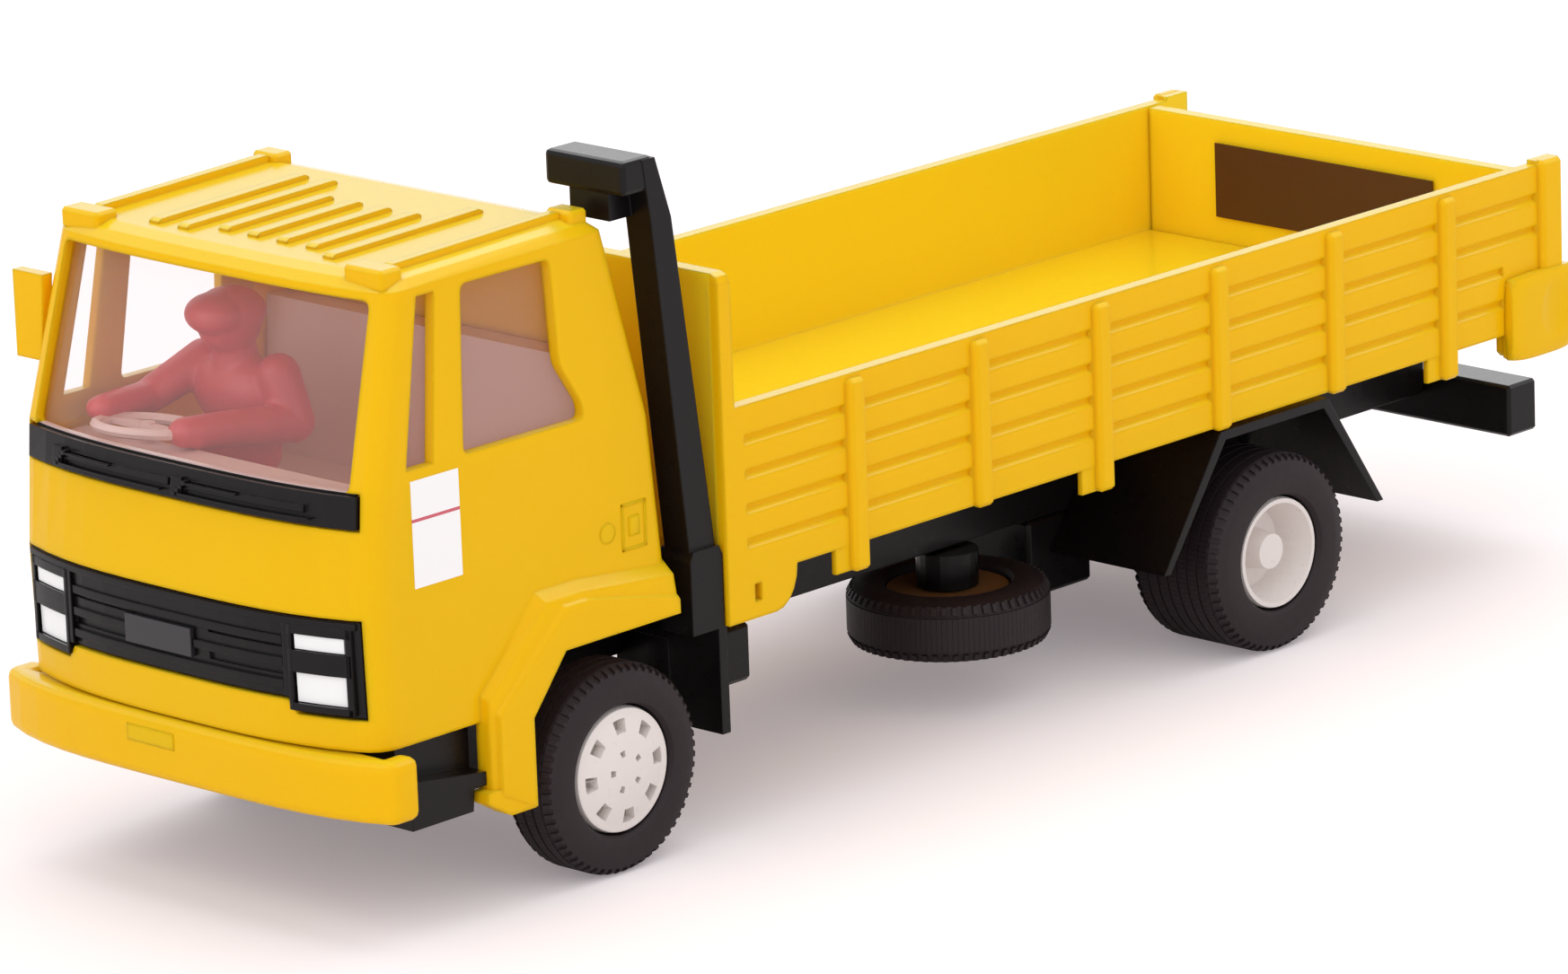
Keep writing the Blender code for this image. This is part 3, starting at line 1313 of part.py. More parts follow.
def build_chassis():
    rear_y = CROSSBAR_FRONT_Y - GAP
    left = box(
        (RAIL_INNER_X, CHASSIS_FRONT_Y, RAIL_BOTTOM_Z), (RAIL_OUTER_X, rear_y, CHASSIS_TOP_Z)
    )
    right = mirrored(left)
    chassis = finish("chassis", right, black_plastic)
    crosses = bmesh.new()
    half_length = CROSS_MEMBER_LENGTH / 2
    places = (
        CHASSIS_FRONT_Y + half_length + EDGE,
        FRONT_AXLE_Y + BEHIND_AXLE + half_length,
        (FRONT_AXLE_Y + REAR_AXLE_Y) / 2,
        REAR_AXLE_Y + BEHIND_AXLE + half_length,
        rear_y - half_length - EDGE,
    )
    for y in places:
        add_box(
            crosses,
            (-RAIL_INNER_X - CROSS_MEMBER_LAP, y - half_length, RAIL_BOTTOM_Z + CROSS_MEMBER_RISE),
            (RAIL_INNER_X + CROSS_MEMBER_LAP, y + half_length, CHASSIS_TOP_Z - CROSS_MEMBER_LAP),
        )
    blocks = bmesh.new()
    step = AXLE_BLOCK_SIDE_STEP
    for axle_y in (FRONT_AXLE_Y, REAR_AXLE_Y):
        for sign in (-1, 1):
            inner, outer = sorted((sign * (RAIL_INNER_X + step), sign * (RAIL_OUTER_X - step)))
            add_box(
                blocks,
                (inner, axle_y - AXLE_BLOCK_HALF_LENGTH, AXLE_BLOCK_BOTTOM_Z),
                (outer, axle_y + AXLE_BLOCK_HALF_LENGTH, RAIL_BOTTOM_Z + CROSS_MEMBER_LAP),
            )
    add(chassis, helper("chassis_cross_members", crosses))
    add(chassis, helper("chassis_rail_left", left))
    add(chassis, helper("chassis_axle_blocks", blocks))
    reach = RAIL_OUTER_X * 1.5
    for end, axle_y in (("front", FRONT_AXLE_Y), ("rear", REAR_AXLE_Y)):
        hole = cylinder(0, (0, axle_y, WHEEL_RADIUS), -reach, reach, AXLE_RADIUS + AXLE_PLAY)
        cut(chassis, helper(f"{end}_axle_hole", hole))


def build_steps():
    """Step plates with a dark recess behind them, under the cab doors."""
    outline = [
        (STEP_FRONT_Y, STEP_BOTTOM_Z),
        (STEP_NOTCH_Y - GAP, STEP_BOTTOM_Z),
        (STEP_NOTCH_Y, STEP_NOTCH_Z),
        (STEP_REAR_Y, STEP_NOTCH_Z),
        (STEP_REAR_Y, STEP_REAR_TOP_Z),
        (STEP_FRONT_Y, STEP_FRONT_TOP_Z),
    ]
    shape = prism(outline, 0, RAIL_OUTER_X + GAP, STEP_OUTER_X)
    riser = box(
        (RAIL_OUTER_X + GAP + EDGE, STEP_FRONT_Y + EDGE, STEP_REAR_TOP_Z - STEP_RISER_LAP / 2),
        (STEP_OUTER_X - STEP_RECESS_DEPTH, STEP_REAR_Y - EDGE, STEP_RISER_TOP_Z),
    )
    for side, made, block in (
        ("left", shape, riser),
        ("right", mirrored(shape), mirrored(riser)),
    ):
        step = finish(f"step_{side}", made, black_plastic)
        add(step, helper(f"step_riser_{side}", block))


def build_flaps():
    rear_y = FLAP_Y + FLAP_THICKNESS
    shape = box((FLAP_INNER_X, FLAP_Y, FLAP_BOTTOM_Z), (FLAP_OUTER_X, rear_y, FLAP_TOP_Z))
    arm = box(
        (RAIL_OUTER_X + GAP, FLAP_Y + EDGE, FLAP_TOP_Z - FLAP_ARM_HEIGHT),
        (FLAP_INNER_X + FLAP_THICKNESS, rear_y - EDGE, FLAP_TOP_Z - EDGE),
    )
    for side, made, link in (("left", shape, arm), ("right", mirrored(shape), mirrored(arm))):
        flap = finish(f"front_mudflap_{side}", made, black_plastic)
        add(flap, helper(f"front_mudflap_arm_{side}", link))


def build_housing():
    shape = box(
        (-RAIL_OUTER_X, HOUSING_FRONT_Y, HOUSING_BOTTOM_Z),
        (RAIL_OUTER_X, HOUSING_FRONT_Y + HOUSING_LENGTH, RAIL_BOTTOM_Z - GAP),
        0.0005,
    )
    finish("motor_housing", shape, black_plastic)


def build_rear_guards():
    outer = [
        (GUARD_FRONT_FOOT_Y, GUARD_FRONT_FOOT_Z),
        (GUARD_TOP_FRONT_Y, GUARD_TOP_Z),
        (GUARD_TOP_REAR_Y, GUARD_TOP_Z),
        (GUARD_REAR_FOOT_Y, GUARD_REAR_FOOT_Z),
    ]
    inner = [
        (GUARD_REAR_FOOT_Y - GUARD_THICKNESS, GUARD_REAR_FOOT_Z),
        (GUARD_TOP_REAR_Y - GUARD_THICKNESS * 0.7, GUARD_TOP_Z - GUARD_THICKNESS),
        (GUARD_TOP_FRONT_Y + GUARD_THICKNESS * 0.7, GUARD_TOP_Z - GUARD_THICKNESS),
        (GUARD_FRONT_FOOT_Y + GUARD_THICKNESS, GUARD_FRONT_FOOT_Z),
    ]
    shape = prism(outer + inner, 0, RAIL_OUTER_X + GAP, GUARD_OUTER_X)
    finish("rear_mudguard_left", shape.copy(), black_plastic)
    finish("rear_mudguard_right", mirrored(shape), black_plastic)
    shape.free()


def build_crossbar():
    shape = box(
        (-CROSSBAR_HALF_WIDTH, CROSSBAR_FRONT_Y, CROSSBAR_BOTTOM_Z),
        (CROSSBAR_HALF_WIDTH, CROSSBAR_REAR_Y, CROSSBAR_TOP_Z),
        0.0004,
    )
    finish("rear_crossbar", shape, black_plastic)


def build_tank():
    shape = box(
        (RAIL_OUTER_X + GAP, TANK_FRONT_Y, TANK_BOTTOM_Z),
        (TANK_OUTER_X, TANK_FRONT_Y + TANK_LENGTH, TANK_TOP_Z),
        0.0006,
    )
    finish("tank", shape, black_plastic)


def build_spare():
    """A spare wheel held flat under the bed by a round carrier."""
    tyre = tyre_profile(SPARE_WIDTH, SPARE_WIDTH, FRONT_HUB_RADIUS + GAP)
    centre = Vector((SPARE_X, SPARE_Y, SPARE_BOTTOM_Z))
    tyre_shape = lathe(tyre, axis=2)
    low, high = SPARE_HUB_RECESS, SPARE_WIDTH - SPARE_HUB_RECESS
    hub = [(low, 0), (low, FRONT_HUB_RADIUS), (high, FRONT_HUB_RADIUS), (high, 0)]
    hub_shape = lathe(hub, axis=2)
    top = RAIL_BOTTOM_Z - GAP - SPARE_BOTTOM_Z
    carrier = [(high + GAP, 0), (high + GAP, CARRIER_RADIUS), (top, CARRIER_RADIUS), (top, 0)]
    carrier_shape = lathe(carrier, axis=2, steps=24)
    for shape in (tyre_shape, hub_shape, carrier_shape):
        bmesh.ops.translate(shape, verts=shape.verts, vec=centre)
    finish("spare_tyre", tyre_shape, tyre_rubber)
    finish("spare_hub", hub_shape, black_plastic)
    finish("spare_carrier", carrier_shape, black_plastic)


def build_stack():
    """The air intake: a leaning column with a wider head that points inwards."""
    outline = [
        (STACK_FOOT_FRONT_Y, STACK_FOOT_Z),
        (STACK_FOOT_REAR_Y, STACK_FOOT_Z),
        (STACK_TOP_REAR_Y, STACK_SHOULDER_Z),
        (STACK_HEAD_REAR_Y, STACK_HEAD_TOP_Z - GAP),
        (STACK_HEAD_REAR_Y - STACK_WIDTH / 2, STACK_HEAD_TOP_Z - GAP),
        (STACK_TOP_FRONT_Y, STACK_SHOULDER_Z),
    ]
    column = prism(outline, 0, STACK_INNER_X, STACK_OUTER_X)
    stack = finish("intake_stack", column, black_plastic)
    head = box(
        (STACK_OUTER_X - STACK_HEAD_LENGTH, STACK_HEAD_FRONT_Y, STACK_HEAD_BOTTOM_Z),
        (STACK_OUTER_X - EDGE, STACK_HEAD_REAR_Y - EDGE, STACK_HEAD_TOP_Z),
        STACK_LIP_STEP,
        2,
    )
    lip = box(
        (
            STACK_OUTER_X - STACK_LIP_LENGTH,
            STACK_HEAD_FRONT_Y + STACK_LIP_STEP,
            STACK_LIP_BOTTOM_Z,
        ),
        (
            STACK_INNER_X + STACK_WIDTH / 4,
            STACK_HEAD_REAR_Y - STACK_LIP_STEP,
            STACK_HEAD_BOTTOM_Z + STACK_LIP_STEP * 2,
        ),
    )
    side_step = STACK_BASE_SIDE_STEP
    base_bottom = FLAP_TOP_Z + GAP
    base_outline = [
        (STACK_BASE_FRONT_Y, base_bottom),
        (BED_FRONT_Y - GAP, base_bottom),
        (BED_FRONT_Y - GAP, STACK_BASE_TOP_Z - side_step * 2),
        (BED_FRONT_Y - GAP - side_step, STACK_BASE_TOP_Z),
        (STACK_BASE_FRONT_Y + side_step, STACK_BASE_TOP_Z),
        (STACK_BASE_FRONT_Y, STACK_BASE_TOP_Z - side_step * 2),
    ]
    base = prism(base_outline, 0, STACK_INNER_X - side_step, STACK_OUTER_X + side_step)
    add(stack, helper("stack_head", head), helper("stack_lip", lip), helper("stack_base", base))


build_chassis()
build_steps()
build_flaps()
build_housing()
build_rear_guards()
build_crossbar()
build_tank()
build_spare()
build_stack()


# Load bed


def side_outline():
    """Side view of the bed: its panel, front lug, rear lug, post and headboard edge."""
    front = BED_FRONT_Y
    lug_end = front + FRONT_LUG_LENGTH
    curve_length = FRONT_LUG_SLOPE - FRONT_LUG_LENGTH
    curve_height = BED_SIDE_BOTTOM_Z - FRONT_LUG_BOTTOM_Z
    points = [(front, FRONT_LUG_BOTTOM_Z)]
    steps = 5
    for i in range(steps + 1):
        angle = math.pi / 2 * i / steps
        y = lug_end + curve_length * math.sin(angle)
        points.append((y, BED_SIDE_BOTTOM_Z - curve_height * math.cos(angle)))
    round_off = REAR_LUG_ROUND
    lug_front = REAR_LUG_REAR_Y - REAR_LUG_LENGTH + GAP
    lug_low = REAR_LUG_BOTTOM_Z + GAP
    lug_rear = REAR_LUG_REAR_Y - GAP
    lug_top = REAR_LUG_TOP_Z - GAP
    points += [
        (lug_front, BED_SIDE_BOTTOM_Z),
        (lug_front, lug_low + round_off),
        (lug_front + round_off, lug_low),
        (lug_rear - round_off, lug_low),
        (lug_rear, lug_low + round_off),
        (lug_rear, lug_top),
        (BED_REAR_Y, lug_top),
        (BED_REAR_Y, POST_TOP_Z - EDGE),
        (BED_REAR_Y - POST_LENGTH, POST_TOP_Z - EDGE),
        (BED_REAR_Y - POST_LENGTH, BED_SIDE_TOP_Z),
        (front + HEADBOARD_THICKNESS, BED_SIDE_TOP_Z),
        (front + HEADBOARD_THICKNESS, HEADBOARD_TOP_Z - HEADBOARD_ROUND - EDGE),
        (front, HEADBOARD_TOP_Z - HEADBOARD_ROUND - EDGE),
    ]
    return points


def stakes():
    """Upright stakes between the bays. Some have a foot below the side panel."""
    shape = bmesh.new()
    inner_x = BED_HALF_WIDTH - BED_WALL / 2
    for i in range(1, BAY_COUNT):
        y = BAY_FIRST_Y + i * BAY_PITCH
        bottom = STAKE_FOOT_Z if i in STAKES_WITH_FEET else BED_SIDE_BOTTOM_Z - GAP
        add_box(
            shape,
            (inner_x, y - STAKE_WIDTH / 2, bottom),
            (STAKE_FACE_X, y + STAKE_WIDTH / 2, BED_SIDE_TOP_Z - STAKE_TOP_GAP),
            STAKE_ROUND,
        )
    return shape


def stake_feet():
    """The wider part of each stake's foot, flush with the side panel."""
    shape = bmesh.new()
    for i in STAKES_WITH_FEET:
        y = BAY_FIRST_Y + i * BAY_PITCH
        add_box(
            shape,
            (
                BED_HALF_WIDTH - BED_WALL / 2 + EDGE,
                y - STAKE_WIDTH / 2 - STAKE_FOOT_FORWARD,
                STAKE_FOOT_Z + EDGE,
            ),
            (BED_HALF_WIDTH - EDGE, y + STAKE_ROUND, BED_SIDE_BOTTOM_Z + STAKE_ROUND),
        )
    return shape


def grooves():
    """Soft lines between the slats of each bay, cut in the side panel's face."""
    shape = bmesh.new()
    pitch = (BED_SIDE_TOP_Z - BED_SIDE_BOTTOM_Z) / (GROOVE_COUNT + 1)
    lug_front = REAR_LUG_REAR_Y - REAR_LUG_LENGTH
    face, depth, half = BED_HALF_WIDTH, GROOVE_DEPTH, GROOVE_HEIGHT / 2
    for bay in range(BAY_COUNT):
        front_y = BAY_FIRST_Y + bay * BAY_PITCH + STAKE_WIDTH / 2 + GROOVE_MARGIN
        rear_y = front_y + BAY_PITCH - STAKE_WIDTH - GROOVE_MARGIN * 2
        if bay == 0:
            front_y += GROOVE_LEAD
        if bay == BAY_COUNT - 1:
            rear_y = BED_REAR_Y - POST_LENGTH - GROOVE_MARGIN - EDGE * 2
        for row in range(1, GROOVE_COUNT + 1):
            z = BED_SIDE_BOTTOM_Z + row * pitch
            end_y = rear_y
            if bay == BAY_COUNT - 1 and z < REAR_LUG_TOP_Z + GROOVE_HEIGHT:
                end_y = lug_front - GROOVE_MARGIN
            outline = [
                (face - depth, z - half * 0.3),
                (face + depth, z - half * 1.7),
                (face + depth, z + half * 1.7),
                (face - depth, z + half * 0.3),
            ]
            add_prism(shape, outline, 1, front_y, end_y)
    return shape


def build_bed():
    root_x = BED_HALF_WIDTH - BED_WALL / 2
    floor = box(
        (-root_x, BED_FRONT_Y + HEADBOARD_THICKNESS / 2, BED_FLOOR_BOTTOM_Z),
        (root_x, GATE_FRONT_Y - GAP, BED_FLOOR_TOP_Z),
    )
    bed = finish("load_bed", floor, yellow_plastic)
    panel = prism(side_outline(), 0, BED_HALF_WIDTH - BED_WALL, BED_HALF_WIDTH)
    other_panel = mirrored(panel)
    add(bed, helper("side_panel_left", panel), helper("side_panel_right", other_panel))
    board_half = BED_HALF_WIDTH - EDGE / 2
    board = [
        (-board_half, BED_FLOOR_BOTTOM_Z + EDGE),
        (board_half, BED_FLOOR_BOTTOM_Z + EDGE),
        (board_half, HEADBOARD_TOP_Z - HEADBOARD_ROUND),
        (board_half - HEADBOARD_ROUND * 0.3, HEADBOARD_TOP_Z - HEADBOARD_ROUND * 0.3),
        (board_half - HEADBOARD_ROUND, HEADBOARD_TOP_Z),
        (HEADBOARD_ROUND - board_half, HEADBOARD_TOP_Z),
        (HEADBOARD_ROUND * 0.3 - board_half, HEADBOARD_TOP_Z - HEADBOARD_ROUND * 0.3),
        (-board_half, HEADBOARD_TOP_Z - HEADBOARD_ROUND),
    ]
    board_rear_y = BED_FRONT_Y + HEADBOARD_THICKNESS - EDGE
    add(bed, helper("headboard", prism(board, 1, BED_FRONT_Y + EDGE, board_rear_y)))
    left_parts = {
        "stakes": stakes(),
        "stake_feet": stake_feet(),
        "rear_post": box(
            (root_x, BED_REAR_Y - POST_LENGTH - EDGE, REAR_LUG_TOP_Z - REAR_LUG_ROUND * 2),
            (STAKE_FACE_X, BED_REAR_Y - EDGE, POST_TOP_Z),
            STAKE_ROUND,
        ),
        "rear_lug": box(
            (root_x, REAR_LUG_REAR_Y - REAR_LUG_LENGTH, REAR_LUG_BOTTOM_Z),
            (LUG_FACE_X, REAR_LUG_REAR_Y, REAR_LUG_TOP_Z),
            REAR_LUG_ROUND,
            2,
        ),
    }
    for name, shape in left_parts.items():
        right = mirrored(shape)
        add(bed, helper(f"{name}_left", shape), helper(f"{name}_right", right))
    slot_y = REAR_LUG_REAR_Y - LUG_SLOT_FRONT
    cutters = grooves()
    add_box(
        cutters,
        (LUG_FACE_X - LUG_SLOT_DEPTH, slot_y, LUG_SLOT_BOTTOM_Z),
        (BED_HALF_WIDTH * 2, slot_y + LUG_SLOT_WIDTH, LUG_SLOT_TOP_Z),
    )
    right_cutters = mirrored(cutters)
    cut(bed, helper("groove_cutter_left", cutters), helper("groove_cutter_right", right_cutters))
    reach = BED_HALF_WIDTH * 1.2
    hinge = (0, GATE_HINGE_Y, GATE_HINGE_Z)
    pin_hole = cylinder(0, hinge, -reach, reach, GATE_PIN_RADIUS + GATE_PIN_PLAY)
    cut(bed, helper("gate_pin_hole", pin_hole))
    hole_y = BED_FRONT_Y + FRONT_LUG_HOLE_FORWARD
    half_width, half_height = FRONT_LUG_HOLE_WIDTH / 2, FRONT_LUG_HOLE_HEIGHT / 2
    lug_hole = box(
        (-reach, hole_y - half_width, FRONT_LUG_HOLE_Z - half_height),
        (reach, hole_y + half_width, FRONT_LUG_HOLE_Z + half_height),
    )
    cut(bed, helper("front_lug_hole", lug_hole))


def build_tailgate():
    """A flat gate whose arms carry pins at the bed's rear lugs."""
    half = BED_HALF_WIDTH - BED_WALL - GAP
    front = GATE_FRONT_Y - GATE_HINGE_Y
    low = GATE_BOTTOM_Z - GATE_HINGE_Z
    plate = box((-half, front, low), (half, front + GATE_THICKNESS, GATE_TOP_Z - GATE_HINGE_Z))
    gate = finish("tailgate", plate, yellow_plastic, gate_hinge)
    radius = GATE_ARM_RADIUS
    arm_outline = [
        (front + EDGE, low + GATE_ARM_START),
        (-radius * 0.5, -radius * 0.87),
        (radius * 0.5, -radius * 0.87),
        (radius, 0),
        (radius * 0.5, radius * 0.87),
        (front + GATE_THICKNESS - EDGE, low + GATE_ARM_HEIGHT),
        (front + EDGE, low + GATE_ARM_HEIGHT),
    ]
    left_arm = prism(arm_outline, 0, half - GATE_ARM_WIDTH, half - EDGE)
    right_arm = mirrored(left_arm)
    add(gate, helper("gate_arm_left", left_arm, gate_hinge))
    add(gate, helper("gate_arm_right", right_arm, gate_hinge))
    pin_end = LUG_FACE_X - LUG_SLOT_DEPTH - EDGE
    left_pin = cylinder(0, (0, 0, 0), half - GATE_ARM_WIDTH * 0.5, pin_end, GATE_PIN_RADIUS)
    right_pin = mirrored(left_pin)
    add(gate, helper("gate_pin_left", left_pin, gate_hinge))
    add(gate, helper("gate_pin_right", right_pin, gate_hinge))
    rear_y = front - GAP
    label = box(
        (-LABEL_HALF_LENGTH, rear_y - LABEL_THICKNESS, LABEL_BOTTOM_Z - GATE_HINGE_Z),
        (LABEL_HALF_LENGTH, rear_y, LABEL_TOP_Z - GATE_HINGE_Z),
    )
    finish("tailgate_label", label, label_brown, gate_hinge)


build_bed()
build_tailgate()
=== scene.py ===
"""Looks of the toy cargo truck: its finishes, its fine mouldings, the light and the camera."""

import json
import math

import bmesh
import bpy
from mathutils import Matrix, Vector
from mathutils.bvhtree import BVHTree


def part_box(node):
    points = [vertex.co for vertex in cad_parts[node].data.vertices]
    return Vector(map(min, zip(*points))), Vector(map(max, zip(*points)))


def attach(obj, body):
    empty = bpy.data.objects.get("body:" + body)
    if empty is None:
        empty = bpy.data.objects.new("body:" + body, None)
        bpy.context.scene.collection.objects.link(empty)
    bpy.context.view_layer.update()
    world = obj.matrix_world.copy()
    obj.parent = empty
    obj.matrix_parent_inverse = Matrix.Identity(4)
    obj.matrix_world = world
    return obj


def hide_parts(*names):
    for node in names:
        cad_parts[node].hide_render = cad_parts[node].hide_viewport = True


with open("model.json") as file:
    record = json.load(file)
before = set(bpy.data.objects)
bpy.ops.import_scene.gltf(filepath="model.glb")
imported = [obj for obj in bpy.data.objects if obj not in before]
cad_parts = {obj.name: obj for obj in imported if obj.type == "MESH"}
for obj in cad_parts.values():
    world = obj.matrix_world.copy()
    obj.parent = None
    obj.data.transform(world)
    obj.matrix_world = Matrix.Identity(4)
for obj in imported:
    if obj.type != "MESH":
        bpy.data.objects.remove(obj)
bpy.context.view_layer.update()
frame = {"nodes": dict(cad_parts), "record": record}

NODES = frame["nodes"]

# All sizes are in metres. The truck's own space has y = 0 at the cab's front corners and x = 0
# on its middle plane, as in the part's source, and SHIFT moves it into the frame.
FRONT_AXLE_Y = 0.0392
WHEEL_RADIUS = 0.013
BED_WALL_MIDDLE_X = 0.0320
BED_FLOOR_MIDDLE_Z = 0.0362


def middle(node):
    """The centre of a node's box, in the frame."""
    low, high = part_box(node)
    return (low + high) / 2


AXLE_CENTRE = middle("front_axle")
SHIFT = Vector((AXLE_CENTRE.x, AXLE_CENTRE.y - FRONT_AXLE_Y, 0))
REAR_AXLE_Y = middle("rear_axle").y - SHIFT.y


# Surface effects shared by the finishes


def new_group(name, inputs, outputs):
    group = bpy.data.node_groups.new(name, "ShaderNodeTree")
    for label, kind, value in inputs:
        socket = group.interface.new_socket(label, in_out="INPUT", socket_type=kind)
        socket.default_value = value
    for label, kind in outputs:
        group.interface.new_socket(label, in_out="OUTPUT", socket_type=kind)
    entry = group.nodes.new("NodeGroupInput")
    leave = group.nodes.new("NodeGroupOutput")
    return group, entry, leave


def add_node(tree, kind, **settings):
    """Adds a node to a tree and sets its own settings, such as its operation."""
    node = tree.nodes.new(kind)
    for key, value in settings.items():
        setattr(node, key, value)
    return node


def set_inputs(node, **values):
    """Sets a node's inputs by name, with _ in place of a space."""
    for key, value in values.items():
        node.inputs[key.replace("_", " ")].default_value = value


def noise(tree, place, scale, detail):
    node = add_node(tree, "ShaderNodeTexNoise")
    set_inputs(node, Scale=scale, Detail=detail)
    tree.links.new(place, node.inputs["Vector"])
    return node.outputs["Fac"]


def stretched(tree, value, low, high, **settings):
    """Maps a value from low to high onto 0 to 1."""
    node = add_node(tree, "ShaderNodeMapRange", **settings)
    set_inputs(node, From_Min=low, From_Max=high)
    tree.links.new(value, node.inputs["Value"])
    return node.outputs["Result"]


def maths(tree, operation, first, second=0.0):
    """One sum of two items, each a number or another node's output."""
    node = add_node(tree, "ShaderNodeMath", operation=operation)
    for socket, item in zip(node.inputs, (first, second)):
        if isinstance(item, (int, float)):
            socket.default_value = item
        else:
            tree.links.new(item, socket)
    return node.outputs[0]


# The sockets of a colour Mix node: its share and two colours in, and its colour out
MIX_INPUTS = (0, 6, 7)
MIX_OUTPUT = 2


def mix_colour(tree, share, first, second):
    """Mixes two items by a share, each a colour or another node's output."""
    node = add_node(tree, "ShaderNodeMix", data_type="RGBA")
    for place, item in zip(MIX_INPUTS, (share, first, second)):
        if isinstance(item, tuple):
            node.inputs[place].default_value = (*item, 1.0)
        else:
            tree.links.new(item, node.inputs[place])
    return node.outputs[MIX_OUTPUT]


UPWARD_FROM = 0.55
UPWARD_FULL = 0.95


def facing_up(tree):
    """A mask of the faces that look upwards, read from the piece's own normals."""
    parts = tree.nodes.new("ShaderNodeSeparateXYZ")
    tree.links.new(add_node(tree, "ShaderNodeTexCoord").outputs["Normal"], parts.inputs[0])
    upward = parts.outputs["Z"]
    return stretched(tree, upward, UPWARD_FROM, UPWARD_FULL, interpolation_type="SMOOTHSTEP")


def bed_painted_light_mask():
    """A mask of the load bed's inner faces, between its side walls and on top of its floor, where
    light is painted in as a paler colour.
    """
    group, _, leave = new_group("bed_painted_light_mask", [], [("Mask", "NodeSocketFloat")])
    place = group.nodes.new("ShaderNodeSeparateXYZ")
    group.links.new(add_node(group, "ShaderNodeTexCoord").outputs["Object"], place.inputs[0])
    off_centre = maths(group, "ABSOLUTE", maths(group, "SUBTRACT", place.outputs["X"], SHIFT.x))
    between_walls = maths(group, "LESS_THAN", off_centre, BED_WALL_MIDDLE_X)
    over_floor = maths(group, "GREATER_THAN", place.outputs["Z"], BED_FLOOR_MIDDLE_Z)
    group.links.new(maths(group, "MULTIPLY", between_walls, over_floor), leave.inputs["Mask"])
    return group


# How fine each unevenness is: the colour's flow, the shine, the grain and the soft waves
FLOW_SCALE, SHINE_SCALE, GRAIN_SCALE, WAVE_SCALE = 38.0, 900.0, 4200.0, 120.0
NOISE_LOW, NOISE_HIGH = 0.3, 0.7


def moulded_surface():
    """Uneven colour and shine of a moulded face, with a painted sheen that makes the top faces
    paler.
    """
    group, entry, leave = new_group(
        "moulded_surface",
        [
            ("Colour", "NodeSocketColor", (0.8, 0.8, 0.8, 1.0)),
            ("Flow Colour", "NodeSocketColor", (0.7, 0.7, 0.7, 1.0)),
            ("Flow Share", "NodeSocketFloat", 0.3),
            ("Top Colour", "NodeSocketColor", (0.8, 0.8, 0.8, 1.0)),
            ("Top Share", "NodeSocketFloat", 0.0),
            ("Shine", "NodeSocketFloat", 0.3),
            ("Shine Spread", "NodeSocketFloat", 0.06),
            ("Grain", "NodeSocketFloat", 0.3),
        ],
        [
            ("Colour", "NodeSocketColor"),
            ("Roughness", "NodeSocketFloat"),
            ("Height", "NodeSocketFloat"),
            ("Top", "NodeSocketFloat"),
        ],
    )
    place = add_node(group, "ShaderNodeTexCoord").outputs["Object"]
    broad = stretched(group, noise(group, place, FLOW_SCALE, 3.0), NOISE_LOW, NOISE_HIGH)
    fine = stretched(group, noise(group, place, SHINE_SCALE, 2.0), NOISE_LOW, NOISE_HIGH)
    grain = noise(group, place, GRAIN_SCALE, 1.0)
    waves = noise(group, place, WAVE_SCALE, 1.0)
    top = facing_up(group)
    share = maths(group, "MULTIPLY", broad, entry.outputs["Flow Share"])
    colour = mix_colour(group, share, entry.outputs["Colour"], entry.outputs["Flow Colour"])
    # Painted sheen: upward faces are mixed towards a paler colour, standing in for the light that
    # falls on them.
    painted_sheen_share = maths(group, "MULTIPLY", top, entry.outputs["Top Share"])
    colour = mix_colour(group, painted_sheen_share, colour, entry.outputs["Top Colour"])
    group.links.new(colour, leave.inputs["Colour"])
    group.links.new(top, leave.inputs["Top"])
    swing = maths(group, "SUBTRACT", fine, 0.5)
    swing = maths(group, "MULTIPLY", swing, entry.outputs["Shine Spread"])
    group.links.new(maths(group, "ADD", entry.outputs["Shine"], swing), leave.inputs["Roughness"])
    height = maths(group, "ADD", maths(group, "MULTIPLY", grain, entry.outputs["Grain"]), waves)
    group.links.new(height, leave.inputs["Height"])
    return group


MOULDED = moulded_surface()
BED_PAINTED_LIGHT_MASK = bed_painted_light_mask()


